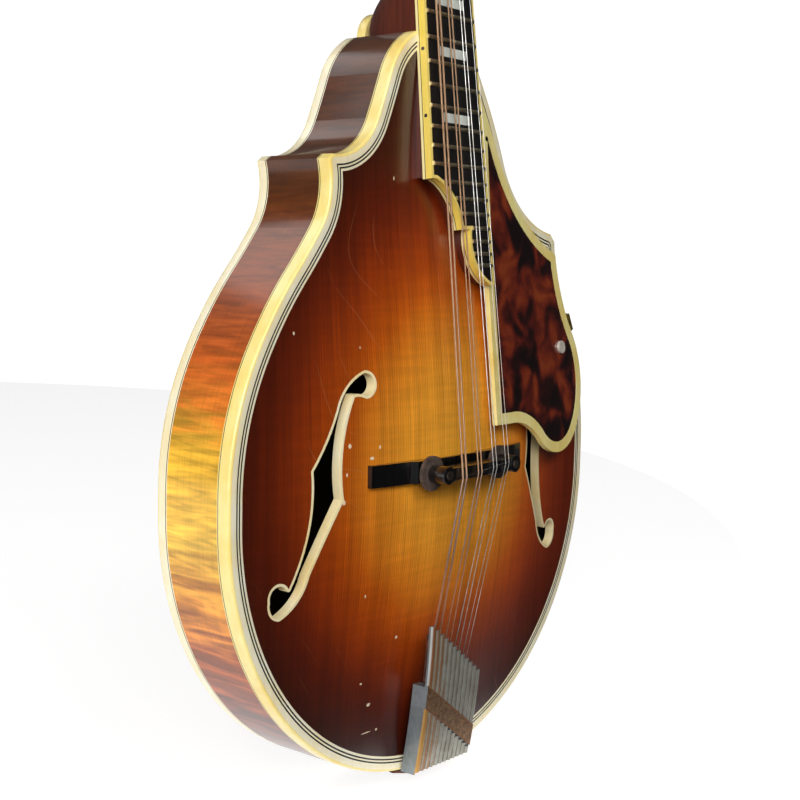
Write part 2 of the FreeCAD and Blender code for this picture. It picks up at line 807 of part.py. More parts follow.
def worm():
    """A four-turn worm on its shaft, the thread facing the pinion at mid length."""
    pitch = size("worm_pitch")
    turns = 4
    helix = Part.makeHelix(pitch, pitch * turns, WORM_CORE)
    profile = polygon([
        Vector(WORM_CORE - 0.3, 0, -0.36), Vector(WORM_OUTER, 0, -0.18),
        Vector(WORM_OUTER, 0, 0.18), Vector(WORM_CORE - 0.3, 0, 0.36),
    ])
    thread = Part.Wire(helix).makePipeShell([profile], True, True)
    core = Part.makeCylinder(WORM_CORE, EAR_OFFSET * 2 - EAR_THICKNESS - 0.2, Vector(0, 0, 0))
    core.translate(Vector(0, 0, pitch * turns / 2 - (EAR_OFFSET - EAR_THICKNESS / 2 - 0.1)))
    solid = core.fuse(thread)
    solid.translate(Vector(0, 0, -pitch * turns / 2))
    return solid


def worm_shaft(side):
    """The worm and its shaft, turned to lie across the head with the button end outwards."""
    body = worm()
    body.rotate(Vector(0, 0, 0), INWARD, 90)
    return body.fuse(rod(SHAFT_RADIUS, flat(-side * 6.4, 0), flat(side * (COLLAR_START + 6), 0)))


def button(side):
    """An oval pearloid button with its collar, bored for the shaft."""
    middle = COLLAR_START + 2 + BUTTON_HALF[0]
    ellipse = Part.Ellipse(Vector(0, 0, 0), BUTTON_HALF[0], BUTTON_HALF[1])
    solid = Part.Face(Part.Wire(ellipse.toShape())).extrude(Vector(0, 0, BUTTON_DEPTH))
    solid = solid.makeFillet(BUTTON_DEPTH * 0.38, solid.Edges)
    solid.translate(Vector(0, 0, -BUTTON_DEPTH / 2))
    solid.rotate(Vector(0, 0, 0), ALONG_X, 90)
    solid.translate(flat(middle, 0))
    solid = solid.fuse(rod(2.5, flat(COLLAR_START, 0), flat(COLLAR_START + 4, 0)))
    solid = solid.cut(rod(SHAFT_RADIUS, flat(COLLAR_START - 1, 0), flat(COLLAR_START + 6, 0)))
    if side < 0:
        solid.rotate(Vector(0, 0, 0), INWARD, 180)
    return solid


def place_in_head(x, z, depth):
    return HEAD_FRAME.multiply(Placement(flat(x, z, depth), Rotation()))


def make_tuners():
    reach = size("worm_distance")
    for number, (side, z) in enumerate(POSTS, start=1):
        x = side * size("post_offset")
        keep("string_post_%d" % number, string_post(), place_in_head(x, z, 0))
        keep("worm_shaft_%d" % number, worm_shaft(side), place_in_head(x, z + reach, GEAR_DEPTH))
        keep("tuner_button_%d" % number, button(side), place_in_head(x, z + reach, GEAR_DEPTH))
    make_plates_and_bushings()


PLATE_HALF = 8.0
PLATE_SPAN = (27.0, 128.0)
PLATE_SCREWS = [31.0, 54.5, 77.5, 100.5, 123.5]
SCREW_INSET = 6.0


def tuner_plate(side):
    """One back plate with four bored holes and a pair of bored ears for each worm."""
    x = side * size("post_offset")
    front = HEAD_BACK
    back = HEAD_BACK + size("tuner_plate")
    plate = box((x - PLATE_HALF, front, PLATE_SPAN[0]), (x + PLATE_HALF, back, PLATE_SPAN[1]))
    bore = size("post_radius") + size("running_gap")
    for _, z in POSTS[:4]:
        axis = z + size("worm_distance")
        for offset in (-EAR_OFFSET, EAR_OFFSET):
            ear = box(
                (x + offset - EAR_THICKNESS / 2, front, axis - 2.6),
                (x + offset + EAR_THICKNESS / 2, GEAR_DEPTH + 2.6, axis + 2.6),
            )
            plate = plate.fuse(ear)
        shaft = size("running_gap") + SHAFT_RADIUS
        plate = plate.cut(rod(shaft, flat(x - 9, axis, GEAR_DEPTH), flat(x + 9, axis, GEAR_DEPTH)))
        plate = plate.cut(rod(bore, flat(x, z, front - 1), flat(x, z, back + 1)))
    for z in PLATE_SCREWS:
        middle = x - side * SCREW_INSET
        plate = plate.cut(rod(1.0, flat(middle, z, front - 1), flat(middle, z, back + 1)))
    return plate


def screw(head_radius, shank_radius, shank, foot, direction):
    """A slotted round-head wood screw, its head's underside at the foot point."""
    dome = Part.makeSphere(head_radius * 1.25).common(
        Part.makeCylinder(head_radius, head_radius, Vector(0, 0, head_radius * 0.75))
    )
    dome.translate(Vector(0, 0, -head_radius * 0.75))
    dome = dome.cut(Part.makeBox(3 * head_radius, 0.5, 1, Vector(-1.5 * head_radius, -0.25, head_radius * 0.3)))
    body = dome.fuse(Part.makeCylinder(shank_radius, shank, Vector(0, 0, -shank)))
    body.Placement = Placement(foot, Rotation(ALONG_Z, direction))
    return body


def make_plates_and_bushings():
    keep("tuner_plates", group([tuner_plate(-1), tuner_plate(1)]), HEAD_FRAME)
    bore = size("post_radius") + size("running_gap")
    bushings = []
    for side, z in POSTS:
        x = side * size("post_offset")
        sleeve = rod(size("bushing_radius"), flat(x, z, 0), flat(x, z, 6.8))
        sleeve = sleeve.fuse(rod(5.4, flat(x, z, -1.0), flat(x, z, 0)))
        bushings.append(sleeve.cut(rod(bore, flat(x, z, -2), flat(x, z, 8))))
    keep("post_bushings", group(bushings), HEAD_FRAME)


# ---------------------------------------------------------------- bridge

BASE_LOW = size("saddle_line") - 4.1
BASE_HIGH = size("saddle_line") + 5.6
STUDS = [flat(side * size("stud_spread"), size("saddle_line")) for side in (-1, 1)]
WHEEL_FRONT = size("wheel_centre") - size("wheel_thickness") / 2
WHEEL_BACK = size("wheel_centre") + size("wheel_thickness") / 2
BASE_FRONT = WHEEL_BACK + 1.1
SADDLE_BACK = WHEEL_FRONT - 0.05


def bridge_base():
    """The ebony base: long feet stepped up to a flat deck, fitted to the arch, hollow in the middle."""
    half = 57.0
    profile = [
        Vector(-half, -31.7, 0), Vector(-47, -33.6, 0), Vector(-35, -35.2, 0), Vector(-32.5, BASE_FRONT, 0),
        Vector(32.5, BASE_FRONT, 0), Vector(35, -35.2, 0), Vector(47, -33.6, 0), Vector(half - 2, -31.7, 0),
        Vector(half - 2, -25, 0), Vector(-half, -25, 0),
    ]
    bar = Part.Face(polygon(profile)).extrude(Vector(0, 0, BASE_HIGH - BASE_LOW))
    bar.translate(Vector(0, 0, BASE_LOW))
    bar = bar.cut(slab(TOP_FACE, 0, 20))
    hollow = slab(TOP_FACE, -1.4, 5).common(box((-14, -60, BASE_LOW - 1), (14, 0, BASE_HIGH + 1)))
    bar = bar.cut(hollow)
    for stud in STUDS:
        bar = bar.cut(rod(size("stud_radius"), flat(stud.x, stud.z, BASE_FRONT + 2.6), flat(stud.x, stud.z, -60)))
    return bar


def saddle_crest(x):
    """The line of the crest under the strings: nearer the tail on the bass side, for true intonation."""
    return size("saddle_line") - 0.9 + 0.09 * x


def crest_section(x):
    """The crest's cross-section at one place along the saddle."""
    z = saddle_crest(x)
    top = size("string_saddle")
    return polygon([
        Vector(x, -46.0, z - 1.7), Vector(x, -46.0, z + 2.6), Vector(x, top, z + 0.6), Vector(x, top, z + 0.2)
    ])


def bridge_saddle():
    """The height-adjustable saddle: a bar with a slanting crest between two round bosses."""
    x = size("stud_spread")
    z = size("saddle_line")
    back = SADDLE_BACK
    bar = box((-x, -49.0, z - 2.6), (x, back - 1.2, z + 2.9))
    saddle = bar.fuse(Part.makeLoft([crest_section(-21.0), crest_section(21.0)], True, True))
    for side in (-1, 1):
        boss = rod(3.9, flat(side * x, z, back), flat(side * x, z, -49.3))
        saddle = saddle.fuse(boss)
    for side in (-1, 1):
        bore = size("stud_radius") + size("running_gap")
        saddle = saddle.cut(rod(bore, flat(side * x, z, -30), flat(side * x, z, -60)))
    return saddle.removeSplitter()


def thumbwheel():
    """A knurled thumbwheel bored for its stud."""
    radius = size("wheel_radius")
    wheel = rod(radius, Vector(0, -size("wheel_thickness") / 2, 0), Vector(0, size("wheel_thickness") / 2, 0))
    wheel = wheel.cut(rod(size("stud_radius") + size("running_gap"), Vector(0, -3, 0), Vector(0, 3, 0)))
    notches = 36
    cutters = []
    for k in range(notches):
        angle = 2 * math.pi * k / notches
        at = flat(radius * 1.012 * math.cos(angle), radius * 1.012 * math.sin(angle))
        cutters.append(rod(0.28, at + Vector(0, -2, 0), at + Vector(0, 2, 0)))
    return wheel.cut(group(cutters))


def make_bridge():
    keep("bridge_base", bridge_base())
    studs = [
        rod(size("stud_radius"), flat(s.x, s.z, BASE_FRONT + 2.6), flat(s.x, s.z, -50.0)) for s in STUDS
    ]
    keep("bridge_studs", group(studs))
    keep("bridge_saddle", bridge_saddle())
    for label, stud in zip(("bass_thumbwheel", "treble_thumbwheel"), STUDS):
        keep(label, thumbwheel(), Placement(flat(stud.x, stud.z, size("wheel_centre")), Rotation()))


# ---------------------------------------------------------------- pickguard

GUARD_ORIGIN = flat(22.0, 224.0, -33.0)
GUARD_FRAME = Placement(GUARD_ORIGIN, Rotation(ALONG_Z, 5.71).multiply(Rotation(ALONG_X, -5.65)))
GUARD_SCREW = flat(70.5, -31.0)
GUARD_TIP_SCREW = flat(6.9, 68.4)
CLAMP_FRONT = FRONT - 1.5


def guard_outline():
    """The pickguard in its own plane, from its corner beside the fingerboard's end."""
    def at(x, z):
        return flat((x - GUARD_ORIGIN.x) / 0.995, (z - GUARD_ORIGIN.z) / 0.99)
    return closed([
        line(at(25.0, 312.0), at(22.6, 240.0)),
        line(at(22.6, 240.0), at(23.4, 160.0)),
        line(at(23.4, 160.0), at(38.0, 159.8)),
        arc(at(38.0, 159.8), at(53.5, 157.2), at(65.5, 149.4)),
        arc(at(65.5, 149.4), at(83.5, 141.4), at(101.0, 148.0)),
        arc(at(101.0, 148.0), at(112.6, 170.0), at(105.5, 200.8)),
        arc(at(105.5, 200.8), at(96.4, 219.0), at(92.2, 239.6)),
        arc(at(92.2, 239.6), at(56.5, 260.6), at(36.0, 291.5)),
        line(at(36.0, 291.5), at(25.0, 312.0)),
    ])


def make_guard():
    outer = guard_outline()
    inner = inset(outer, size("guard_binding"))
    hole = Part.Wire(Part.makeCircle(1.7, GUARD_SCREW, INWARD))
    padded("pickguard", [inner, hole], "guard_thickness", placement=GUARD_FRAME)
    proud = Placement(Vector(0, -0.2, 0), Rotation())
    padded("pickguard_binding", [outer, inner], "guard_binding_depth", placement=GUARD_FRAME.multiply(proud))
    screw_head = rod(3.2, GUARD_SCREW + Vector(0, -1.3, 0), GUARD_SCREW)
    post = rod(1.6, GUARD_SCREW, GUARD_SCREW + Vector(0, 4.5, 0))
    stem = in_frame(screw_head.fuse(post), GUARD_FRAME)
    foot = GUARD_FRAME.multVec(GUARD_SCREW + Vector(0, 3.2, 0))
    arm = rod(1.0, foot, flat(108.8, 206.5, CLAMP_FRONT))
    lip = box((-4.0, CLAMP_FRONT, -4.6), (1.0, FRONT - 0.3, 4.6))
    clamp = lip.fuse(box((0, CLAMP_FRONT, -4.6), (1.0, -8.0, 4.6)))
    clamp.Placement = Placement(flat(111.9, 205.0), Rotation(INWARD, -27.5))
    keep("pickguard_bracket", stem.fuse(arm).fuse(clamp))


# ---------------------------------------------------------------- tailpiece

RIBS = 12
TAIL_CURVE = [Vector(0, -37.3, 72.3), Vector(0, -34.5, 35.0), Vector(0, -30.0, 5.0)]
SHEET = 1.0
TAIL_TOP = (72.3, 43.7)
TAIL_FOOT = (2.7, 1.5)
BAND_TOP = (45.0, 15.5)
BAND_FOOT = (34.0, 5.0)


def tail_sweep(points):
    """A cross-section, given as x and height over the sheet's inner face, swept down the cover's curve."""
    curve = arc(*TAIL_CURVE).Curve
    centre = curve.Center
    inner = curve.Radius - SHEET
    section_points = [Vector(x, centre.y - inner - lift, centre.z) for x, lift in points]
    face = Part.Face(polygon(section_points))
    start = math.degrees(math.asin((76.0 - centre.z) / curve.Radius))
    end = math.degrees(math.asin((0.0 - centre.z) / curve.Radius))
    face.rotate(centre, ALONG_X, -start)
    return face.revolve(centre, ALONG_X, start - end)


def slanted(top, foot, low=-1.0, high=1.0):
    """A front-view strip across the cover with slanting top and foot edges."""
    half = size("tailpiece_half")
    a = low * half
    b = high * half

    def level(pair, x):
        return pair[0] + (pair[1] - pair[0]) * (x + half) / (2 * half)
    corners = [flat(a, level(foot, a)), flat(b, level(foot, b)), flat(b, level(top, b)), flat(a, level(top, a))]
    return prism(polygon(corners), -60, 0)


def rib_section(index):
    """One half-round rib over the sheet."""
    pitch = 2 * size("tailpiece_half") / RIBS
    left = -size("tailpiece_half") + pitch * index
    steps = 6
    bump = [
        (left + pitch * k / steps, SHEET + 1.1 * math.sin(math.pi * k / steps) ** 0.7)
        for k in range(steps + 1)
    ]
    return [(left, SHEET * 0.5)] + bump + [(left + pitch, SHEET * 0.5)]


def stair(pair, index):
    """The level top of one rib's step."""
    return pair[0] + (pair[1] - pair[0]) * index / (RIBS - 1)


def tail_channel(side):
    """The cover's side wall, curled inwards along its lower edge."""
    edge = side * size("tailpiece_half")
    depth = 6.6
    curl = [(0, SHEET), (0, -depth), (4.4, -depth), (4.4, -depth + 3.0), (3.6, -depth + 3.0), (3.6, -depth + 0.8),
            (0.8, -depth + 0.8), (0.8, SHEET)]
    return tail_sweep([(edge - side * x, lift) for x, lift in curl])


def tailpiece_cover():
    """The cover: a curved sheet with stepped ribs, a plain slanting band and curled side walls."""
    half = size("tailpiece_half")
    pitch = 2 * half / RIBS
    sheet_section = [(-half, 0), (half, 0), (half, SHEET), (-half, SHEET)]
    band_section = [(-half, SHEET / 2), (half, SHEET / 2), (half, SHEET + 0.9), (-half, SHEET + 0.9)]
    cover = tail_sweep(sheet_section).common(slanted(TAIL_TOP, TAIL_FOOT))
    cover = cover.fuse(tail_sweep(band_section).common(slanted(BAND_TOP, BAND_FOOT)))
    above = slanted((90, 90), BAND_TOP)
    below = slanted(BAND_FOOT, TAIL_FOOT)
    for index in range(RIBS):
        rib = tail_sweep(rib_section(index))
        left = -half + pitch * index
        upper = box((left, -60, -5), (left + pitch, 0, stair(TAIL_TOP, index)))
        lower = box((left, -60, -5), (left + pitch, 0, stair(BAND_FOOT, index)))
        cover = cover.fuse(rib.common(above).common(upper)).fuse(rib.common(below).common(lower))
    cover = cover.cut(group([
        box((-half + pitch * k, -60, stair(TAIL_TOP, k)), (-half + pitch * (k + 1), 0, 90)) for k in range(RIBS)
    ]))
    for side, top in ((-1, BAND_TOP[0] - 1.0), (1, BAND_TOP[1])):
        wall = tail_channel(side).common(box((-half - 1, -60, min(TAIL_FOOT)), (half + 1, 0, top)))
        cover = cover.fuse(wall)
    return cover


TAIL_SCREWS = [Vector(-12.5, -12.8, 0), Vector(12.5, -12.8, 0), Vector(0, 11.0, 0)]
TAIL_SHEET = 1.0
TAIL_FACE = -0.05
BEND_RADIUS = 4.2
HOOKS = [flat(x, z) for x, z in (
    (-12.9, 62.0), (-8.6, 60.0), (-4.0, 56.4), (0.1, 53.8), (3.6, 50.2), (7.2, 47.6), (10.4, 43.8), (13.6, 41.2)
)]
BEND_HALF = 15.5


def base_front(z):
    """The depth of the string plate's front face."""
    return -25.6 - 5.5 * z / 64


def tail_foot():
    """The bracket's lower part: bent round the rim's edge, then a tongue along the tail with the pin's hole."""
    low = TAIL_FACE - TAIL_SHEET
    centre = Vector(-BEND_HALF, base_front(0) + BEND_RADIUS, low + BEND_RADIUS)
    bend = Part.makeCylinder(BEND_RADIUS, 2 * BEND_HALF, centre, ALONG_X)
    bend = bend.cut(Part.makeCylinder(BEND_RADIUS - TAIL_SHEET, 2 * BEND_HALF, centre, ALONG_X))
    bend = bend.common(box((-BEND_HALF, base_front(0), low), (BEND_HALF, centre.y, centre.z)))
    shoulder = centre.y
    outline = closed([
        line(Vector(-BEND_HALF, shoulder, low), Vector(BEND_HALF, shoulder, low)),
        line(Vector(BEND_HALF, shoulder, low), Vector(20, -16.5, low)),
        arc(Vector(20, -16.5, low), Vector(17.5, -10.5, low), Vector(10, -8, low)),
        line(Vector(10, -8, low), Vector(6, -5, low)),
        line(Vector(6, -5, low), Vector(6, 9, low)),
        arc(Vector(6, 9, low), Vector(0, 15, low), Vector(-6, 9, low)),
        line(Vector(-6, 9, low), Vector(-6, -5, low)),
        line(Vector(-6, -5, low), Vector(-10, -8, low)),
        arc(Vector(-10, -8, low), Vector(-17.5, -10.5, low), Vector(-20, -16.5, low)),
        line(Vector(-20, -16.5, low), Vector(-BEND_HALF, shoulder, low)),
    ])
    foot = bend.fuse(Part.Face(outline).extrude(Vector(0, 0, TAIL_SHEET)))
    for spot in TAIL_SCREWS:
        foot = foot.cut(rod(1.1, spot + flat(0, -5), spot + flat(0, 5)))
    return foot.cut(rod(1.6, flat(0, -5), flat(0, 5)))


def tailpiece_base():
    """The tail bracket and the string plate that rises from it, with its eight hooks."""
    joint = TAIL_FACE - TAIL_SHEET + BEND_RADIUS
    left = HOOKS[0].x - 1.0
    side_view = polygon([
        Vector(left, base_front(joint), joint), Vector(left, base_front(67), 67),
        Vector(left, base_front(67) + 1.1, 67), Vector(left, base_front(joint) + 1.1, joint),
    ])
    plate = Part.Face(side_view).extrude(Vector(BEND_HALF - left, 0, 0))
    trim = prism(polygon([flat(left, 0), flat(BEND_HALF, 0), flat(BEND_HALF, 44.8), flat(left, 66.5)]), -60, 0)
    base = tail_foot().fuse(plate.common(trim))
    for hook in HOOKS:
        front = base_front(hook.z)
        base = base.fuse(rod(0.9, flat(hook.x, hook.z, front + 0.5), flat(hook.x, hook.z, front - 3.0)))
    return base


def make_tail():
    keep("tailpiece_base", tailpiece_base())
    keep("tailpiece_cover", tailpiece_cover())
    radius = size("pin_radius")
    seat = TAIL_FACE - TAIL_SHEET
    profile = [(0, seat), (radius, seat), (radius - 0.6, -2.6), (radius - 0.8, -4.0), (radius - 0.2, -5.0),
               (5.2, -5.8), (5.4, -6.6), (4.6, -7.6), (0, -8.0)]
    outline = polygon([Vector(r, 0, z) for r, z in profile])
    pin = Part.Face(outline).revolve(Vector(0, 0, 0), ALONG_Z, 360)
    keep("end_pin", pin.fuse(rod(1.5, Vector(0, 0, -2), Vector(0, 0, 9))))


# ---------------------------------------------------------------- strings and screws

STRING_RADII = [0.50, 0.50, 0.33, 0.33, 0.20, 0.20, 0.14, 0.14]
SADDLE_X = [-17.0, -14.3, -5.2, -2.6, 6.6, 9.2, 16.2, 18.9]
NUT_X = [-11.2, -9.0, -4.6, -2.4, 2.4, 4.6, 9.0, 11.2]
POST_ORDER = [0, 1, 2, 3, 7, 6, 5, 4]
REST_GAP = 0.07


def string(index):
    """One string: hook, saddle, nut and post, in straight runs with round joints."""
    radius = STRING_RADII[index]
    side, z = POSTS[POST_ORDER[index]]
    hook = HOOKS[index]
    tail = flat(hook.x, hook.z + 1.0 + radius, base_front(hook.z) - 1.6)
    crest = SADDLE_X[index]
    saddle = flat(crest, saddle_crest(crest) + 0.4, size("string_saddle") - radius - REST_GAP)
    nut_height = -size("nut_height") - radius - REST_GAP
    nut = BOARD_FRAME.multVec(flat(NUT_X[index], NUT_END + size("nut_length") - 0.3, nut_height))
    waist = size("post_radius") - 0.7 + radius + REST_GAP
    post = HEAD_FRAME.multVec(flat(side * (size("post_offset") - waist), z, -8.0))
    result = rod(radius, tail, saddle).fuse(rod(radius, saddle, nut)).fuse(rod(radius, nut, post))
    for joint in (saddle, nut):
        result = result.fuse(Part.makeSphere(radius, joint))
    return result


def make_strings():
    keep("wound_strings", group([string(k) for k in range(4)]))
    keep("plain_strings", group([string(k) for k in range(4, 8)]))


def make_screws():
    """Every small wood screw: tuner plates, rod cover, tail bracket and the pickguard's upper tip."""
    back = HEAD_BACK + size("tuner_plate")
    screws = []
    for side in (-1, 1):
        x = side * (size("post_offset") - SCREW_INSET)
        for z in PLATE_SCREWS:
            screws.append(in_frame(screw(1.8, 0.95, 5.0, flat(x, z, back), INWARD), HEAD_FRAME))
    for x, z in COVER_SCREWS:
        foot = flat(x, z, -size("cover_thickness"))
        screws.append(in_frame(screw(1.5, 0.8, 4.0, foot, OUTWARD), HEAD_FRAME))
    for spot in TAIL_SCREWS:
        screws.append(screw(2.2, 1.05, 9.0, spot + flat(0, TAIL_FACE - TAIL_SHEET), Vector(0, 0, -1)))
    screws.append(in_frame(screw(1.4, 0.7, 6.5, GUARD_TIP_SCREW, OUTWARD), GUARD_FRAME))
    keep("screws", group(screws))


# ---------------------------------------------------------------- build

make_plates()
make_rim()
make_linings()
make_tone_bars()
make_neck()
make_heel_cap()
make_board()
make_nut()
make_head()
make_tuners()
make_bridge()
make_guard()
make_tail()
make_strings()
make_screws()
doc.recompute()

for item in doc.Objects:
    if {"Invalid", "Error"} & set(item.State):
        raise ValueError(item.Name + " failed: " + ", ".join(item.State))
os.makedirs("parts", exist_ok=True)
for sub_part in parts:
    if sub_part.Shape.isNull() or not sub_part.Shape.isValid():
        raise ValueError(sub_part.Label + " has no valid shape")
for sub_part in parts:
    sub_part.Shape.exportStep(os.path.join("parts", sub_part.Label + ".step"))
print(len(parts), "sub-parts written")
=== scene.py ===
import json
import math

import bmesh
import bpy
import numpy as np
from mathutils import Matrix, Vector


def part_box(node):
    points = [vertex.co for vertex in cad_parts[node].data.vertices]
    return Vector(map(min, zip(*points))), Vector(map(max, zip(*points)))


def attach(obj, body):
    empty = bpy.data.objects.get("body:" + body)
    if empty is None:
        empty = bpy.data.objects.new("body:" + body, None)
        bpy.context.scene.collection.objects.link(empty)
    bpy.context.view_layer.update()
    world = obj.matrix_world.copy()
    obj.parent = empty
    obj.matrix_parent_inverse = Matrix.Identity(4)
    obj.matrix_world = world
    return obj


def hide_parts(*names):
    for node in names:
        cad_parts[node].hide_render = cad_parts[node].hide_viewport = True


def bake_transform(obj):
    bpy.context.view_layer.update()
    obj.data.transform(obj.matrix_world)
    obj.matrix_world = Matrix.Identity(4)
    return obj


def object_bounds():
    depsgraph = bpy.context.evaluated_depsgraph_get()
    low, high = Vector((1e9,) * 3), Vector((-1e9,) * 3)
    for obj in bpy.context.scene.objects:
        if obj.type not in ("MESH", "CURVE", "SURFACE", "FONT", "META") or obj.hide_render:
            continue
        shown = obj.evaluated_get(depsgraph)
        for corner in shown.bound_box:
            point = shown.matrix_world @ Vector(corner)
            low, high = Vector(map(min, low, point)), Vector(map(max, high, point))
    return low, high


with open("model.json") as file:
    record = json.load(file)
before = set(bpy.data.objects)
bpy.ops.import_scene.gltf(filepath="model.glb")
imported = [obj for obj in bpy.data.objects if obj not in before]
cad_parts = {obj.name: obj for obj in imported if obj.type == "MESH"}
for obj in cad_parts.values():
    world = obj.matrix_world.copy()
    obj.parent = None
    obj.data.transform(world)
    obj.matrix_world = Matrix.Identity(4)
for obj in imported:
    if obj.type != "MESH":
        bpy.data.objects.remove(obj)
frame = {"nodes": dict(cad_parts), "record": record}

CAD_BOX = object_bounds()
NODES = frame["nodes"]
MM = 0.001
SEAM = 1e-6
STRING_SEAM = 1e-7

# the fingerboard's tilt and a point on its face
BOARD_TILT = math.radians(6.12)
BOARD_FACE = (0, -0.0266, 0.322)

# the sunburst's middle height, its reach to the sides, up and down, and where its colours end
BURST_MIDDLE = 0.145
BURST_SIDE = 0.094
BURST_UP = 0.102
BURST_DOWN = 0.096
BURST_END = 1.8

# the strings' crossing point on the saddle and the lean of its crest
CREST = Vector((0, -0.05, 0.1421))
CREST_LEAN = Vector((-0.09, 0, 1)).normalized()

FLOOR_RADIUS = 1.2
FLOOR_PLACE = (0, 1.14, CAD_BOX[0].z)
FLOOR_GLOW = 0.84

# name, place, width, height, radiance
LIGHTS = [
    ("key", (-1.5, -1.3, 0.9), 0.9, 0.9, 9.8),
    ("side_fill", (-1.7, -0.25, 0.35), 0.8, 0.8, 5),
    ("front_fill", (-0.5, -1.5, 1.4), 0.9, 0.7, 7),
    ("overhead", (-0.35, 1.0, 1.35), 0.85, 0.35, 2.0),
]
LIGHT_TARGET = Vector((0, 0, 0.16))

# the world: its strength for the camera; for the object, the direction that counts as front,
# and from where to where, and from which strength to which, the glow fades towards it
WORLD_SEEN = 1.05
WORLD_FRONT = Vector((0.42, -0.90, -0.10)).normalized()
WORLD_FADE = (0.10, 0.80, 0.09, 0.02)

CAMERA_PLACE = Vector((-0.492007, -0.397066, 0.235195))
CAMERA_TARGET = Vector((0.0628, 0.0505, 0.16172))
CAMERA_ROLL = math.radians(1.2)
CAMERA_LENS = 60.98


# ---------------------------------------------------------------- colours and node helpers

def tone(code):
    """A linear RGBA colour from a hex code."""
    channels = [int(code[i:i + 2], 16) / 255 for i in (0, 2, 4)]
    return tuple(c / 12.92 if c <= 0.04045 else ((c + 0.055) / 1.055) ** 2.4 for c in channels) + (1.0,)


class Paint:
    """A procedural material: short names for the nodes that build it."""

    def __init__(self, name, roughness=0.4, metallic=0.0, coat=0.0, coat_roughness=0.05, specular=0.5):
        self.material = bpy.data.materials.new(name)
        self.material.use_nodes = True
        self.tree = self.material.node_tree
        self.shader = next(n for n in self.tree.nodes if n.type == "BSDF_PRINCIPLED")
        self.set("Roughness", roughness)
        self.set("Metallic", metallic)
        self.set("Coat Weight", coat)
        self.set("Coat Roughness", coat_roughness)
        self.set("Specular IOR Level", specular)
        self.place = self.add("ShaderNodeTexCoord").outputs["Object"]

    def set(self, name, value):
        """Sets an input of the surface shader."""
        self.feed(self.shader.inputs[name], value)

    def add(self, kind, **settings):
        """Adds a node with its settings."""
        node = self.tree.nodes.new(kind)
        for key, value in settings.items():
            setattr(node, key, value)
        return node

    def feed(self, socket, value):
        """Links or sets a socket."""
        if isinstance(value, bpy.types.NodeSocket):
            self.tree.links.new(value, socket)
        else:
            socket.default_value = value

    def math(self, operation, a, b=0.0, c=0.0):
        """One arithmetic step on numbers."""
        node = self.add("ShaderNodeMath", operation=operation)
        for socket, value in zip(node.inputs, (a, b, c)):
            self.feed(socket, value)
        return node.outputs[0]

    def vector(self, operation, a, b):
        """One arithmetic step on vectors."""
        node = self.add("ShaderNodeVectorMath", operation=operation)
        self.feed(node.inputs[0], a)
        self.feed(node.inputs[1], b)
        return node.outputs["Value" if operation == "DOT_PRODUCT" else "Vector"]

    def normal(self):
        """The surface's own direction."""
        return self.add("ShaderNodeTexCoord").outputs["Normal"]

    def split(self, vector):
        """The three components of a vector."""
        node = self.add("ShaderNodeSeparateXYZ")
        self.feed(node.inputs[0], vector)
        return node.outputs

    def join(self, x, y, z):
        """A vector from three numbers."""
        node = self.add("ShaderNodeCombineXYZ")
        for socket, value in zip(node.inputs, (x, y, z)):
            self.feed(socket, value)
        return node.outputs[0]

    def scaled(self, x, y, z):
        """The place on the object, stretched for a texture."""
        return self.vector("MULTIPLY", self.place, (x, y, z))

    def noise(self, vector, detail=2.0, roughness=0.5, distortion=0.0):
        """Cloudy noise between 0 and 1."""
        node = self.add("ShaderNodeTexNoise")
        settings = (("Scale", 1.0), ("Detail", detail), ("Roughness", roughness), ("Distortion", distortion))
        self.feed(node.inputs["Vector"], vector)
        for name, value in settings:
            self.feed(node.inputs[name], value)
        return node.outputs["Fac"]

    def cells(self, vector):
        """The distance and colour of scattered cells."""
        node = self.add("ShaderNodeTexVoronoi")
        self.feed(node.inputs["Vector"], vector)
        self.feed(node.inputs["Scale"], 1.0)
        return node.outputs

    def ramp(self, factor, stops):
        """A colour that runs through hex codes as the factor rises."""
        node = self.add("ShaderNodeValToRGB")
        elements = node.color_ramp.elements
        while len(elements) < len(stops):
            elements.new(0.5)
        for element, (position, colour) in zip(elements, stops):
            element.position = position
            element.color = tone(colour)
        self.feed(node.inputs["Fac"], factor)
        return node.outputs["Color"]

    def span(self, value, low, high, to_low=0.0, to_high=1.0):
        """The value mapped from low..high to to_low..to_high, clamped."""
        node = self.add("ShaderNodeMapRange", clamp=True)
        for socket, number in zip(node.inputs, (value, low, high, to_low, to_high)):
            self.feed(socket, number)
        return node.outputs["Result"]

    def mix(self, factor, a, b, blend="MIX"):
        """A blend of two colours, given as sockets, hex codes or RGBA values."""
        node = self.add("ShaderNodeMix", data_type="RGBA", blend_type=blend, clamp_factor=True)
        self.feed(node.inputs[0], factor)
        self.feed(node.inputs[6], tone(a) if isinstance(a, str) else a)
        self.feed(node.inputs[7], tone(b) if isinstance(b, str) else b)
        return node.outputs[2]

    def shade(self, colour, factor):
        """The colour multiplied by a grey factor."""
        return self.mix(1.0, colour, self.join(factor, factor, factor), "MULTIPLY")

    def bump(self, height, distance, strength):
        """Small relief; the distance is in metres."""
        node = self.add("ShaderNodeBump")
        self.feed(node.inputs["Height"], height)
        self.feed(node.inputs["Distance"], distance)
        self.feed(node.inputs["Strength"], strength)
        self.set("Normal", node.outputs["Normal"])


# ---------------------------------------------------------------- wood

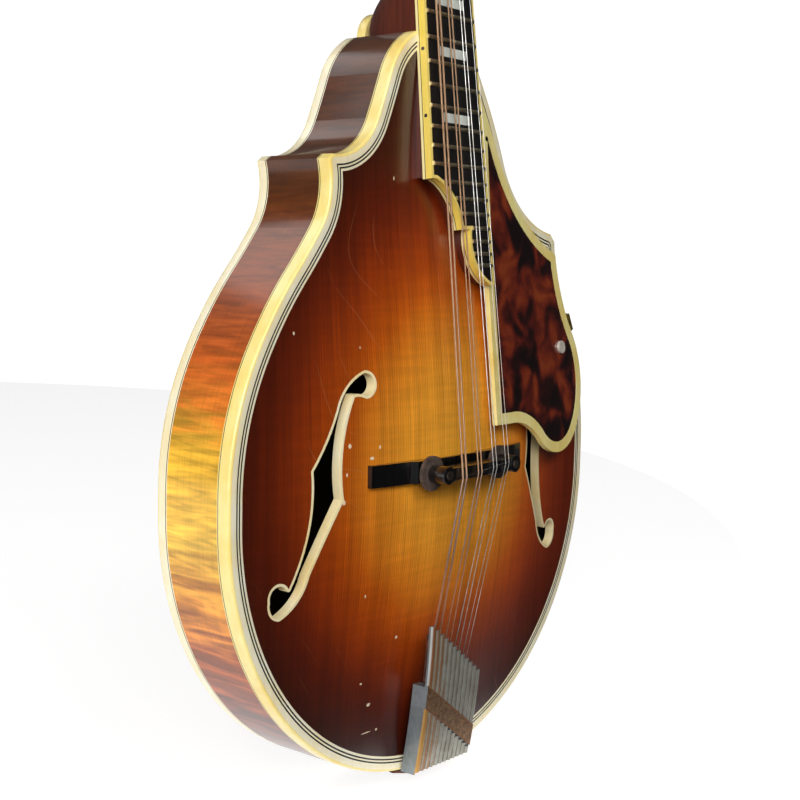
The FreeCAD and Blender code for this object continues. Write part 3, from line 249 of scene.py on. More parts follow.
# middle x, middle z, half width and half height of each chip, in millimetres
NICKS = [
    (-51.6, 50.2, 0.8, 0.5), (-45.3, 39.2, 1.1, 0.8), (-45.5, 26.2, 3.4, 0.25), (-38.6, 26.0, 0.7, 0.6),
    (-66.7, 157.2, 0.9, 1.0), (-54.6, 151.1, 1.2, 0.7), (-50.1, 155.6, 0.6, 0.8), (-69.6, 133.5, 0.8, 1.3),
    (-68.2, 145.2, 0.5, 0.9), (-31.9, 67.9, 0.8, 0.8), (-40.5, 290.5, 0.4, 1.2), (-34.4, 270.4, 0.4, 0.9),
]


def nicked(p, x, z):
    """Small chips in the lacquer that show the pale wood."""
    wobble = p.math("SUBTRACT", p.noise(p.scaled(1500, 1500, 1500), detail=2), 0.5)
    chips = 0.0
    for centre_x, centre_z, half_x, half_z in NICKS:
        side = p.math("DIVIDE", p.math("SUBTRACT", x, centre_x * MM), half_x * MM)
        rise = p.math("DIVIDE", p.math("SUBTRACT", z, centre_z * MM), half_z * MM)
        reach = p.math("SQRT", p.math("ADD", p.math("MULTIPLY", side, side), p.math("MULTIPLY", rise, rise)))
        chips = p.math("MAXIMUM", chips, p.span(p.math("ADD", reach, wobble), 0.75, 1.1, 1.0, 0.0))
    return chips


def burst_radius(p, x, z):
    """Distance from the middle of the sunburst, 1 at its ring."""
    across = p.math("DIVIDE", x, BURST_SIDE)
    rise = p.math("SUBTRACT", z, BURST_MIDDLE)
    along = p.math("MAXIMUM", p.math("DIVIDE", rise, BURST_UP), p.math("DIVIDE", rise, -BURST_DOWN))
    squares = p.math("ADD", p.math("MULTIPLY", across, across), p.math("MULTIPLY", along, along))
    cloud = p.noise(p.scaled(22, 22, 14), detail=3)
    return p.math("ADD", p.math("SQRT", squares), p.math("MULTIPLY", p.math("SUBTRACT", cloud, 0.5), 0.16))


def spruce_grain(p, x):
    """Year rings, fibres, streaks and silk as one grey factor; then the fibres and the rings alone."""
    warp = p.noise(p.scaled(30, 0, 4), detail=2)
    lines = p.math("SINE", p.math("ADD", p.math("MULTIPLY", x, 5200), p.math("MULTIPLY", warp, 30)))
    lines = p.span(lines, -0.2, 1.0, 1.0, 0.80)
    fibre = p.span(p.noise(p.scaled(2600, 200, 26), detail=3, roughness=0.65), 0.25, 0.75, 0.72, 1.20)
    streak = p.span(p.noise(p.scaled(330, 20, 5), detail=3), 0.3, 0.75, 0.82, 1.14)
    silk = p.span(p.noise(p.scaled(38, 10, 420), detail=2), 0.35, 0.7, 0.95, 1.07)
    grain = p.math("MULTIPLY", p.math("MULTIPLY", lines, fibre), p.math("MULTIPLY", streak, silk))
    return grain, fibre, lines


def speckled(p, finish):
    """The finish with rare tiny chips."""
    nicks = p.cells(p.scaled(95, 95, 60))["Distance"]
    ragged = p.math("MULTIPLY", p.math("SUBTRACT", p.noise(p.scaled(900, 900, 500), detail=2), 0.5), 0.09)
    chipped = p.span(p.math("ADD", nicks, ragged), 0.028, 0.05, 1.0, 0.0)
    rare = p.span(p.noise(p.scaled(31, 31, 31), detail=1), 0.60, 0.64)
    return p.mix(p.math("MULTIPLY", chipped, rare), finish, "e8d9bb")


def scratched(p, finish, x, z):
    """The finish with faint broken scratches along wavy lines."""
    wave = p.math("MULTIPLY", p.noise(p.scaled(9, 9, 9), detail=1), 9)
    course = p.math("ADD", p.math("MULTIPLY", x, 70), wave)
    course = p.math("FRACT", p.math("ADD", course, p.math("MULTIPLY", z, 34)))
    hair = p.math("ABSOLUTE", p.math("SUBTRACT", course, 0.5))
    broken = p.span(p.noise(p.scaled(26, 26, 17), detail=3), 0.57, 0.66)
    scratch = p.math("MULTIPLY", p.span(hair, 0.0, 0.016, 1.0, 0.0), broken)
    return p.mix(p.math("MULTIPLY", scratch, 0.3), finish, "c08a5c")


def spruce_top():
    """Sunburst spruce under worn lacquer, darker towards the tail, with painted light across it: darker
    towards the bass edge and lighter towards the treble side as a painted reflection.
    """
    p = Paint("spruce_top", roughness=0.4, coat=0.55, coat_roughness=0.24, specular=0.22)
    x, _, z = p.split(p.place)
    burst = p.ramp(p.math("DIVIDE", burst_radius(p, x, z), BURST_END), [
        (0.0, "fcb034"), (0.22, "f5a02c"), (0.34, "e2801c"), (0.42, "c95c0c"), (0.49, "b04606"),
        (0.56, "983606"), (0.62, "7c2806"), (0.68, "661e05"), (0.78, "4c1705"), (1.0, "3a1105"),
    ])
    grain, fibre, lines = spruce_grain(p, x)
    # Painted light across the top: lighter towards the treble side as a painted reflection, darker towards
    # the bass side; darker towards the tail as well
    edges = p.math("MULTIPLY", p.span(x, -0.11, 0.10, 0.74, 1.28), p.span(z, 0.015, 0.075, 0.5, 1.0))
    finish = p.shade(burst, p.math("MULTIPLY", grain, edges))
    finish = scratched(p, speckled(p, finish), x, z)
    finish = p.mix(p.math("MULTIPLY", nicked(p, x, z), 0.85), finish, "f3e2c0")
    shadowed_inside(p, finish, 1)
    p.set("Roughness", p.span(fibre, 0.85, 1.1, 0.46, 0.34))
    p.bump(p.math("ADD", fibre, lines), 0.00004, 0.35)
    return p.material


def maple(name):
    """Glossy lacquered maple without its colour."""
    return Paint(name, roughness=0.38, coat=0.7, coat_roughness=0.14, specular=0.3)


def flame_colour(p, level, stops, wide, fine, fibre):
    """Stained maple, shaded by its broad flame, fine flame and fibres."""
    level = p.math("ADD", level, p.math("MULTIPLY", p.math("SUBTRACT", wide, 0.5), 0.12))
    flame = p.math("MULTIPLY", p.span(wide, 0.34, 0.66, 0.58, 1.24), p.span(fine, 0.3, 0.7, 0.74, 1.18))
    p.bump(p.math("ADD", fibre, fine), 0.00003, 0.3)
    return p.shade(p.ramp(level, stops), p.math("MULTIPLY", flame, p.span(fibre, 0.3, 0.7, 0.9, 1.07)))


def maple_ribs():
    """Flamed ribs, amber at the lower bout and dark towards the neck and the tail."""
    p = maple("maple_ribs")
    level = p.math("MULTIPLY", p.split(p.place)[2], 2.8)
    wide = p.noise(p.scaled(170, 22, 170), detail=2, distortion=0.9)
    fine = p.noise(p.scaled(480, 60, 480), detail=3, distortion=0.5)
    fibre = p.noise(p.scaled(30, 1800, 30), detail=2)
    p.set("Base Color", flame_colour(p, level, RIB_STOPS, wide, fine, fibre))
    return p.material


def maple_back():
    """Flamed back with a sunburst like the top's."""
    p = maple("maple_back")
    x, _, z = p.split(p.place)
    level = p.math("DIVIDE", burst_radius(p, x, z), BURST_END)
    wide = p.noise(p.scaled(8, 0, 95), detail=2, distortion=0.4)
    fine = p.noise(p.scaled(20, 0, 300), detail=2)
    fibre = p.noise(p.scaled(1400, 0, 14), detail=2)
    shadowed_inside(p, flame_colour(p, level, BACK_STOPS, wide, fine, fibre), -1)
    return p.material


def dark_wood(name, deep, light, coat=0.8, roughness=0.4):
    """Dark wood with long fibres."""
    p = Paint(name, roughness=roughness, coat=coat, coat_roughness=0.12, specular=0.35)
    fibre = p.noise(p.scaled(900, 900, 22), detail=4, roughness=0.6)
    cloud = p.noise(p.scaled(40, 40, 12), detail=2)
    share = p.math("ADD", p.math("MULTIPLY", fibre, 0.6), p.math("MULTIPLY", cloud, 0.5))
    p.set("Base Color", p.mix(p.span(share, 0.35, 0.8), deep, light))
    p.set("Roughness", p.span(fibre, 0.3, 0.7, roughness - 0.06, roughness + 0.08))
    p.bump(fibre, 0.00003, 0.3)
    return p.material


def raw_wood_in_painted_shade():
    """Bare wood painted near-black: painted shade of the dark sound chamber."""
    p = Paint("inner_wood", roughness=0.85, specular=0.2)
    fibre = p.noise(p.scaled(500, 500, 20), detail=3)
    # Painted shade: near-black tones for the dark inside of the chamber
    p.set("Base Color", p.mix(fibre, "140d07", "23180d"))
    p.bump(fibre, 0.0001, 0.4)
    return p.material


def shadowed_inside(p, colour, sign):
    """Painted shade: near-black bare wood, without coat, on the faces that look into the sound chamber."""
    inside = p.span(p.math("MULTIPLY", p.split(p.normal())[1], sign), 0.05, 0.15)
    # Painted shade: near-black where the faces look into the chamber
    p.set("Base Color", p.mix(inside, colour, "1c130b"))
    p.set("Coat Weight", p.span(inside, 0.0, 1.0, 0.9, 0.0))


# ---------------------------------------------------------------- plastics

def ivoroid(name, light, deep):
    """Yellowed, grained imitation ivory."""
    p = Paint(name, roughness=0.32, coat=0.5, coat_roughness=0.12)
    cloud = p.noise(p.scaled(60, 60, 60), detail=3)
    fleck = p.noise(p.scaled(500, 500, 90), detail=4, roughness=0.7)
    tint = p.mix(p.span(cloud, 0.3, 0.7), light, deep)
    p.set("Base Color", p.shade(tint, p.span(fleck, 0.3, 0.75, 1.02, 0.9)))
    p.set("Subsurface Weight", 0.15)
    p.set("Subsurface Radius", (0.002, 0.0015, 0.0008))
    p.set("Subsurface Scale", 1.0)
    p.bump(fleck, 0.00004, 0.25)
    return p.material


def board_edge():
    """The fingerboard's binding: yellow, with a fine black line along its sides."""
    p = Paint("board_edge", roughness=0.3, coat=0.5, coat_roughness=0.12)
    inwards = (0, math.cos(BOARD_TILT), -math.sin(BOARD_TILT))
    fleck = p.noise(p.scaled(500, 500, 90), detail=4, roughness=0.7)
    depth = p.vector("DOT_PRODUCT", p.vector("SUBTRACT", p.place, BOARD_FACE), inwards)
    front = p.span(p.vector("DOT_PRODUCT", p.normal(), inwards), -0.8, -0.6, 1.0, 0.0)
    line = p.math("MULTIPLY", p.math("GREATER_THAN", depth, 3.4 * MM), p.math("LESS_THAN", depth, 3.75 * MM))
    line = p.math("MULTIPLY", line, p.math("SUBTRACT", 1.0, front))
    sides = p.mix(p.math("GREATER_THAN", depth, 3.5 * MM), "fbdc62", "fbeaa4")
    tint = p.mix(line, p.mix(front, sides, "f7dc78"), "0c0c0a")
    p.set("Base Color", p.shade(tint, p.span(fleck, 0.3, 0.75, 1.02, 0.88)))
    p.bump(fleck, 0.00004, 0.25)
    return p.material


def black_line():
    """The black fibre lines of the bindings."""
    p = Paint("black_line", roughness=0.4, coat=0.4)
    fleck = p.noise(p.scaled(300, 300, 300), detail=3)
    p.set("Base Color", p.mix(fleck, "060907", "141c14"))
    p.bump(fleck, 0.00003, 0.2)
    return p.material


def tortoise():
    """Deep red-brown with blurred amber clouds about a centimetre across."""
    p = Paint("tortoiseshell", roughness=0.25, coat=0.8, coat_roughness=0.08)
    wide = p.noise(p.scaled(62, 62, 62), detail=1.5, roughness=0.45, distortion=0.7)
    fine = p.noise(p.scaled(260, 260, 260), detail=3, roughness=0.6)
    share = p.math("ADD", p.math("MULTIPLY", wide, 0.86), p.math("MULTIPLY", fine, 0.14))
    p.set("Base Color", p.ramp(share, [
        (0.36, "140607"), (0.45, "2c0c0a"), (0.53, "5a1a10"), (0.61, "7c2c14"), (0.72, "94421c"),
    ]))
    p.bump(p.noise(p.scaled(60, 60, 60), detail=1), 0.0002, 0.05)
    return p.material


def pearloid():
    """Clouded imitation pearl."""
    p = Paint("pearloid", roughness=0.25, coat=0.8)
    cell = p.cells(p.scaled(420, 420, 260))["Color"]
    cloud = p.noise(p.scaled(500, 500, 300), detail=2, distortion=1.0)
    tint = p.mix(cloud, "b9c0b6", "eef0e6")
    p.set("Base Color", p.mix(0.12, tint, cell))
    p.bump(cloud, 0.00002, 0.2)
    return p.material


def marker():
    """Pearl inlays in the board, dark dots along its bass edge."""
    p = Paint("markers", roughness=0.25, coat=0.8)
    cloud = p.noise(p.scaled(500, 500, 300), detail=2, distortion=1.0)
    at_edge = p.span(p.split(p.place)[0], -0.0125, -0.0118, 1.0, 0.0)
    p.set("Base Color", p.mix(at_edge, p.mix(cloud, "b9c0b6", "eef0e6"), p.mix(cloud, "2e1c12", "463024")))
    p.bump(cloud, 0.00002, 0.2)
    return p.material


def plain_plastic(name, deep, light):
    """A clouded, polished plastic or bone."""
    p = Paint(name, roughness=0.3, coat=0.6)
    cloud = p.noise(p.scaled(250, 250, 250), detail=4, roughness=0.6)
    p.set("Base Color", p.mix(cloud, deep, light))
    p.set("Roughness", p.span(cloud, 0.3, 0.7, 0.3, 0.42))
    p.bump(cloud, 0.00003, 0.25)
    return p.material


# ---------------------------------------------------------------- metals

TAIL_HALF = (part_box("tailpiece_cover")[1].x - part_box("tailpiece_cover")[0].x) / 2
TAIL_ROWS = 12
TAIL_PITCH = 2 * TAIL_HALF / TAIL_ROWS


def metal(name, clean, stained, roughness=0.3, metallic=1.0):
    """Metal with stained patches and a fine tooth."""
    p = Paint(name, roughness=roughness, metallic=metallic)
    stain = p.noise(p.scaled(160, 160, 160), detail=5, roughness=0.65)
    fine = p.noise(p.scaled(1800, 1800, 1800), detail=2)
    dull = p.span(stain, 0.3, 0.7, roughness, roughness + 0.2)
    p.set("Base Color", p.mix(p.span(stain, 0.38, 0.62), clean, stained))
    p.set("Roughness", p.math("ADD", dull, p.math("MULTIPLY", fine, 0.08)))
    p.bump(p.math("ADD", stain, p.math("MULTIPLY", fine, 0.4)), 0.00006, 0.35)
    return p.material


def wound():
    """Wound bronze with painted light and shade along the string: bright above the saddle, duller below it
    and coppery next to the tailpiece.
    """
    p = Paint("bronze_string", roughness=0.36, metallic=0.7)
    wrap = p.noise(p.scaled(300, 300, 300), detail=2)
    z = p.split(p.place)[2]
    turns = p.math("SINE", p.math("MULTIPLY", z, 26000))
    # Painted light and shade: one bronze in three tones by height, brighter above the saddle, duller below
    # it, coppery next to the tailpiece
    bright = p.mix(wrap, "e8c09a", "cc9e7a")
    dull = p.mix(wrap, "b89c8c", "94796c")
    low_end = p.mix(wrap, "fcc09a", "e0a07c")
    below = p.mix(p.span(z, 0.085, 0.105), low_end, dull)
    p.set("Base Color", p.mix(p.span(z, 0.138, 0.144), below, bright))
    p.bump(turns, 0.00006, 0.6)
    return p.material


def worn_ribs(p, row, z_above_band, stain):
    """The tailpiece's ribs: grey crests, brass grooves, copper wear, and a bare first rib."""
    x = p.split(p.place)[0]
    phase = p.math("FRACT", row)
    groove = p.math("ABSOLUTE", p.math("SUBTRACT", phase, 0.5))
    worn_by = p.math("MULTIPLY", p.math("SUBTRACT", stain, 0.5), 0.9)
    in_groove = p.span(p.math("ADD", groove, p.math("MULTIPLY", worn_by, 0.2)), 0.32, 0.46)
    left = p.span(x, -TAIL_HALF + 6.5 * TAIL_PITCH, -TAIL_HALF + TAIL_PITCH, 0.15, 1.0)
    grey = p.mix(p.span(stain, 0.35, 0.7), "b6b5ab", "918e82")
    colour = p.mix(p.math("MULTIPLY", in_groove, 0.9), grey, p.mix(left, "4c3a2a", "8a6438"))
    crest = p.math("MULTIPLY", p.math("SUBTRACT", 1.0, p.span(groove, 0.16, 0.34)), left)
    worn = p.span(p.math("ADD", crest, worn_by), 0.50, 0.72)
    colour = p.mix(p.math("MULTIPLY", worn, 0.85), colour, "ad7a50")
    bare = p.mix(z_above_band, p.mix(stain, "d8a862", "a87a42"), p.mix(stain, "c5875a", "9d6642"))
    edge = p.math("SUBTRACT", 1.0, p.span(phase, 0.18, 0.26))
    bare = p.mix(p.math("MULTIPLY", z_above_band, edge), bare, "c9cac6")
    return p.mix(p.math("LESS_THAN", row, 1.0), colour, bare)


def tail_metal():
    """Dull nickel, worn to brass and copper on the left ribs, with a rusty brown band across the front."""
    p = Paint("worn_nickel", roughness=0.42, metallic=0.65)
    x, _, z = p.split(p.place)
    front = p.span(p.math("MULTIPLY", p.split(p.normal())[1], -1.0), 0.25, 0.4)
    stain = p.noise(p.scaled(150, 150, 90), detail=5, roughness=0.65)
    fine = p.noise(p.scaled(900, 900, 500), detail=3)
    row = p.math("DIVIDE", p.math("ADD", x, TAIL_HALF), TAIL_PITCH)
    across = p.math("DIVIDE", row, TAIL_ROWS)
    band_top = p.math("MULTIPLY_ADD", across, -29.5 * MM, 45.0 * MM)
    band_foot = p.math("MULTIPLY_ADD", across, -29.0 * MM, 34.0 * MM)
    colour = worn_ribs(p, row, p.math("GREATER_THAN", z, band_top), stain)
    height = p.math("ADD", z, p.math("MULTIPLY", p.math("SUBTRACT", fine, 0.5), 1.2 * MM))
    over = p.math("SUBTRACT", band_top, height)
    under = p.math("SUBTRACT", height, band_foot)
    band = p.math("MULTIPLY", p.math("GREATER_THAN", over, 0.0), p.math("GREATER_THAN", under, 0.0))
    grit = p.noise(p.scaled(700, 700, 700), detail=3)
    brown = p.mix(p.span(grit, 0.35, 0.65), "664a34", "9c7856")
    copper = p.mix(stain, "a56c45", "7d4c30")
    brown = p.mix(p.span(p.math("MINIMUM", over, under), 0.4 * MM, 1.1 * MM), copper, brown)
    walls = p.mix(p.span(stain, 0.35, 0.7), "90979a", "6c7275")
    p.set("Base Color", p.mix(front, walls, p.mix(band, colour, brown)))
    p.set("Roughness", p.math("ADD", p.span(stain, 0.3, 0.7, 0.32, 0.56), p.math("MULTIPLY", band, 0.12)))
    p.bump(p.math("ADD", stain, p.math("MULTIPLY", fine, 0.5)), 0.00012, 0.5)
    return p.material


def rust():
    """Rusty steel."""
    p = Paint("rusty_steel", roughness=0.65, metallic=0.3)
    stain = p.noise(p.scaled(220, 220, 220), detail=5, roughness=0.7)
    p.set("Base Color", p.ramp(stain, [(0.3, "2a1a15"), (0.5, "5a3526"), (0.7, "7a4c34")]))
    p.bump(stain, 0.0002, 0.6)
    return p.material


def bracket():
    """Brass-yellow at the rim clamp, with a painted highlight at the screw head: near-white and barely
    metallic.
    """
    p = Paint("bracket", roughness=0.3, metallic=0.9)
    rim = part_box("pickguard_bracket")[1].x
    stain = p.noise(p.scaled(260, 260, 260), detail=4, roughness=0.65)
    outer = p.span(p.split(p.place)[0], rim - 12 * MM, rim - 9 * MM)
    # Painted highlight: the screw head is near-white and barely metallic
    head = p.mix(stain, "f2ece0", "c2b7a6")
    brass = p.mix(p.span(stain, 0.35, 0.65), "f0cf5a", "a0802e")
    p.set("Base Color", p.mix(outer, head, brass))
    p.set("Metallic", p.span(outer, 0.0, 1.0, 0.25, 0.9))
    p.bump(stain, 0.00006, 0.3)
    return p.material


def old_screws():
    """Nickel screws, but a browned one at the pickguard's upper tip."""
    p = Paint("old_screws", roughness=0.35, metallic=0.9)
    x, _, z = p.split(p.place)
    stain = p.noise(p.scaled(420, 420, 420), detail=4, roughness=0.65)
    tip = p.math("MULTIPLY", p.span(x, 0.024, 0.0245), p.span(z, 0.33, 0.331, 1.0, 0.0))
    p.set("Base Color", p.mix(tip, p.mix(stain, "bdb9ae", "857c6c"), p.mix(stain, "3a2a20", "1d1512")))
    p.bump(stain, 0.00006, 0.3)
    return p.material


# ---------------------------------------------------------------- the materials and who wears them

RIB_STOPS = [
    (0.0, "3a1208"), (0.12, "7a2e0e"), (0.20, "b85818"), (0.27, "f29a2a"), (0.33, "ffc843"), (0.44, "ffc23a"),
    (0.49, "e8822a"), (0.55, "c05a1c"), (0.64, "8c4012"), (0.74, "582c0c"), (1.0, "4a240c"),
]
BACK_STOPS = [
    (0.0, "eaa238"), (0.25, "e2922c"), (0.38, "cf7420"), (0.47, "a84a12"), (0.56, "7c2e0c"), (0.66, "54200a"),
    (0.8, "3e1608"), (1.0, "301006"),
]
MATERIALS = {
    "spruce_top": spruce_top(),
    # The pale look serves the pale purfling lines and, as a painted highlight, the top binding's front strip
    "pale_ivoroid": ivoroid("pale_ivoroid", "fff7dc", "fbe9ba"),
    "sound_hole_edge": ivoroid("sound_hole_edge", "fff0c8", "f8dea0"),
    "board_edge": board_edge(),
    "markers": marker(),
    "bracket": bracket(),
    "old_screws": old_screws(),
    "wheel_metal": metal("wheel_metal", "76645a", "50443e", roughness=0.5, metallic=0.55),
    "guard_edge": ivoroid("guard_edge", "fff0a4", "f6da7c"),
    "maple_ribs": maple_ribs(),
    "maple_back": maple_back(),
    "inner_wood": raw_wood_in_painted_shade(),
    "ivoroid": ivoroid("ivoroid", "ffeea2", "fbdb78"),
    "black_line": black_line(),
    "maple_neck": dark_wood("maple_neck", "3c140a", "6e2e18"),
    "steel": metal("steel", "8e8e8c", "5c5a57"),
    "ebony_board": dark_wood("ebony_board", "090808", "1a1716", coat=0.15, roughness=0.5),
    "nickel_silver": metal("nickel_silver", "d9cdb0", "a3947a", roughness=0.25),
    "bone": plain_plastic("bone", "cbbf9c", "e6dcc0"),
    "black_veneer": dark_wood("black_veneer", "060505", "121010", coat=1.0, roughness=0.3),
    "black_plastic": plain_plastic("black_plastic", "080808", "151515"),
    "nickel": metal("nickel", "b9b6ab", "8b8374", roughness=0.22),
    "pearloid": pearloid(),
    "ebony": dark_wood("ebony", "040405", "0b0b0c", coat=1.0, roughness=0.3),
    "aged_brass": metal("aged_brass", "5c5248", "2e2823", roughness=0.4, metallic=0.8),
    "tortoiseshell": tortoise(),
    "worn_nickel": tail_metal(),
    "rusty_steel": rust(),
    "bronze_string": wound(),
    "steel_string": metal("steel_string", "f6f6f2", "ccc6bc", roughness=0.22, metallic=0.8),
}
SPECIAL = {
    "back_plate": "maple_back", "ribs": "maple_ribs", "top_purfling": "black_line",
    "fingerboard_binding": "board_edge", "position_markers": "markers", "pickguard_bracket": "bracket",
    "screws": "old_screws", "bass_thumbwheel": "wheel_metal", "treble_thumbwheel": "wheel_metal",
    "pickguard_binding": "guard_edge", "f_hole_bindings": "sound_hole_edge",
}
SLOTS = {row["node"]: row["material_slot"] for row in frame["record"]["subparts"]}


def dress(obj, slot, *looks):
    """Gives an object its materials."""
    obj.data.materials.clear()
    for look in looks:
        obj.data.materials.append(MATERIALS[look])


for node, slot in SLOTS.items():
    dress(NODES[node], slot, SPECIAL.get(node, slot))


SOFT_EDGES = {
    "bridge_base": 0.5, "bridge_saddle": 0.35, "nut": 0.3, "heel_cap": 0.3, "truss_rod_cover": 0.2,
    "bridge_studs": 0.25,
}


def soften(node, width):
    """Small rounded edges on a CAD part, width in millimetres."""
    weld = NODES[node].modifiers.new("seams", "WELD")
    weld.merge_threshold = SEAM
    bevel = NODES[node].modifiers.new("edges", "BEVEL")
    bevel.width = width * MM
    bevel.segments = 2
    bevel.limit_method = "ANGLE"
    bevel.angle_limit = math.radians(40)
    bevel.harden_normals = True


for node, width in SOFT_EDGES.items():
    soften(node, width)


# ---------------------------------------------------------------- mesh helpers

def new_piece(name, body, stands_for, slot, looks, verts, faces, indices):
    """A smooth mesh piece in metres that rides on a body and stands for CAD nodes."""
    mesh = bpy.data.meshes.new(name)
    mesh.from_pydata([tuple(v) for v in verts], [], faces)
    obj = bpy.data.objects.new(name, mesh)
    bpy.context.scene.collection.objects.link(obj)
    dress(obj, slot, *looks)
    mesh.polygons.foreach_set("material_index", indices)
    tool = bmesh.new()
    tool.from_mesh(mesh)
    bmesh.ops.remove_doubles(tool, verts=tool.verts, dist=SEAM)
    bmesh.ops.dissolve_degenerate(tool, edges=tool.edges, dist=SEAM)
    bmesh.ops.recalc_face_normals(tool, faces=tool.faces)
    tool.to_mesh(mesh)
    tool.free()
    mesh.shade_smooth()
    mesh.set_sharp_from_angle(angle=math.radians(35))
    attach(obj, body)
    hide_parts(*stands_for)


def arc_through(a, m, b, step=1.6):
    """Points of the circle arc from a through m to b, in the front view, without its first point."""
    a, m, b = Vector(a), Vector(m), Vector(b)
    d = 2 * (a.x * (m.y - b.y) + m.x * (b.y - a.y) + b.x * (a.y - m.y))
    aa, mm, bb = a.length_squared, m.length_squared, b.length_squared
    centre = Vector((
        (aa * (m.y - b.y) + mm * (b.y - a.y) + bb * (a.y - m.y)) / d,
        (aa * (b.x - m.x) + mm * (a.x - b.x) + bb * (m.x - a.x)) / d,
    ))
    start, middle, end = (math.atan2((p - centre).y, (p - centre).x) for p in (a, m, b))
    turn = (end - start) % (2 * math.pi)
    if (middle - start) % (2 * math.pi) > turn:
        turn -= 2 * math.pi
    radius = (a - centre).length
    count = max(2, round(abs(turn) * radius / step))
    return [
        centre + radius * Vector((math.cos(start + turn * k / count), math.sin(start + turn * k / count)))
        for k in range(1, count + 1)
    ]


def tangent_arcs(start, heading, targets):
    """Arcs through the targets, each leaving in the direction in which the one before it ends."""
    points = []
    start, heading = Vector(start), Vector(heading).normalized()
    for target in targets:
        chord = Vector(target) - start
        normal = Vector((-heading.y, heading.x))
        side = chord.dot(normal)
        if abs(side) < 1e-6:
            points.append(Vector(target))
        else:
            radius = chord.length_squared / (2 * side)
            centre = start + normal * radius
            bend = math.atan2(side, chord.dot(heading))
            offset = start - centre
            spin = Matrix.Rotation(bend, 2)
            points += arc_through(start, centre + spin @ offset, target)
            heading = Matrix.Rotation(2 * bend, 2) @ heading
        start = Vector(target)
    return points, heading


def body_outline():
    """The body's outline in millimetres, from the treble side of the neck round the tail to the bass side."""
    def side(sign, waist, point, sweep_middle, sweep_end, shoulder):
        run = [Vector((sign * 130, 130))]
        more, _ = tangent_arcs(run[-1], (0, 1), waist + [point[0]])
        run += more + [Vector(point[1])]
        sweep = arc_through(point[1], sweep_middle, sweep_end)
        heading = end_heading(point[1], sweep_middle, sweep_end)
        more, _ = tangent_arcs(sweep_end, heading, shoulder)
        return run + sweep + more

    def end_heading(a, m, b):
        fine = arc_through(a, m, b, step=0.01)
        return fine[-1] - fine[-2]

    bass = side(-1, [(-130, 140), (-115.7, 197.5), (-93.3, 230.4), (-79.7, 247.6)],
                [(-75.2, 276.2), (-72.3, 278.3)], (-54, 283.8), (-44.6, 295.5), [(-36.5, 315.5), (-19, 335)])
    treble = side(1, [(130, 140), (115.7, 197.5), (106.3, 215)],
                  [(97.5, 246.0), (93.5, 250.0)], (68, 260.5), (50, 283), [(37, 308), (19, 335)])
    tail = arc_through((130, 130), (0, 0), (-130, 130))
    return [Vector((14, 335))] + treble[::-1] + tail + bass[1:] + [Vector((-14, 335))]


def nearest(point, a, b):
    """The distance of points from the polyline between a and b."""
    along = b - a
    share = np.clip(((point - a) * along).sum(-1) / np.maximum((along * along).sum(-1), 1e-12), 0, 1)
    return np.linalg.norm(point - (a + share[..., None] * along), axis=-1)


def inset_path(path, distance):
    """The path moved inwards (to its right), with mitred corners and no loops."""
    pts = np.array([tuple(p) for p in path])
    if distance <= 0:
        return pts
    along = np.diff(pts, axis=0)
    along /= np.linalg.norm(along, axis=1)[:, None]
    normals = np.stack([along[:, 1], -along[:, 0]], 1)
    first = np.vstack([normals[:1], normals])
    second = np.vstack([normals, normals[-1:]])
    middle = first + second
    middle /= (middle * first).sum(1)[:, None]
    moved = pts + middle * distance
    gap = nearest(moved[:, None, :], pts[None, :-1], pts[None, 1:]).min(1)
    good = gap > distance - 0.03
    index = 0
    while index < len(moved):
        if good[index]:
            index += 1
            continue
        last = index
        while not good[last]:
            last += 1
        a, b = moved[index - 2], moved[index - 1]
        c, d = moved[last], moved[last + 1]
        u, v = b - a, d - c
        cross = u[0] * v[1] - u[1] * v[0]
        share = ((c - a)[0] * v[1] - (c - a)[1] * v[0]) / cross
        moved[index:last] = a + share * u
        index = last
    return moved


BINDING_LOOKS = ["ivoroid", "black_line", "pale_ivoroid"]
YELLOW, BLACK, PALE = range(len(BINDING_LOOKS))


def strip_sweep(name, nodes, path, profile):
    """Strips swept along the outline: the profile lists inset, depth and the look of the next strip."""
    rails = [inset_path(path, d) for d, _, _ in profile]
    count = len(path)
    verts = [(x * MM, y * MM, z * MM) for rail, (_, y, _) in zip(rails, profile) for x, z in rail]
    faces, indices = [], []
    for k in range(len(profile)):
        after = (k + 1) % len(profile)
        for i in range(count - 1):
            faces.append((k * count + i, k * count + i + 1, after * count + i + 1, after * count + i))
            indices.append(profile[k][2])
    for i in (0, count - 1):
        faces.append([k * count + i for k in range(len(profile))])
        indices.append(YELLOW)
    new_piece(name, "instrument", nodes, "ivoroid", BINDING_LOOKS, verts, faces, indices)


CORNER_STEPS = 5


def rounded(centre_d, centre_y, radius, sign):
    """The profile points of the binding's rounded outer corner."""
    quarter = [math.pi / 2 * k / CORNER_STEPS for k in range(CORNER_STEPS + 1)]
    return [
        (centre_d - radius * math.cos(a), centre_y + sign * radius * math.sin(a), YELLOW) for a in quarter
    ]


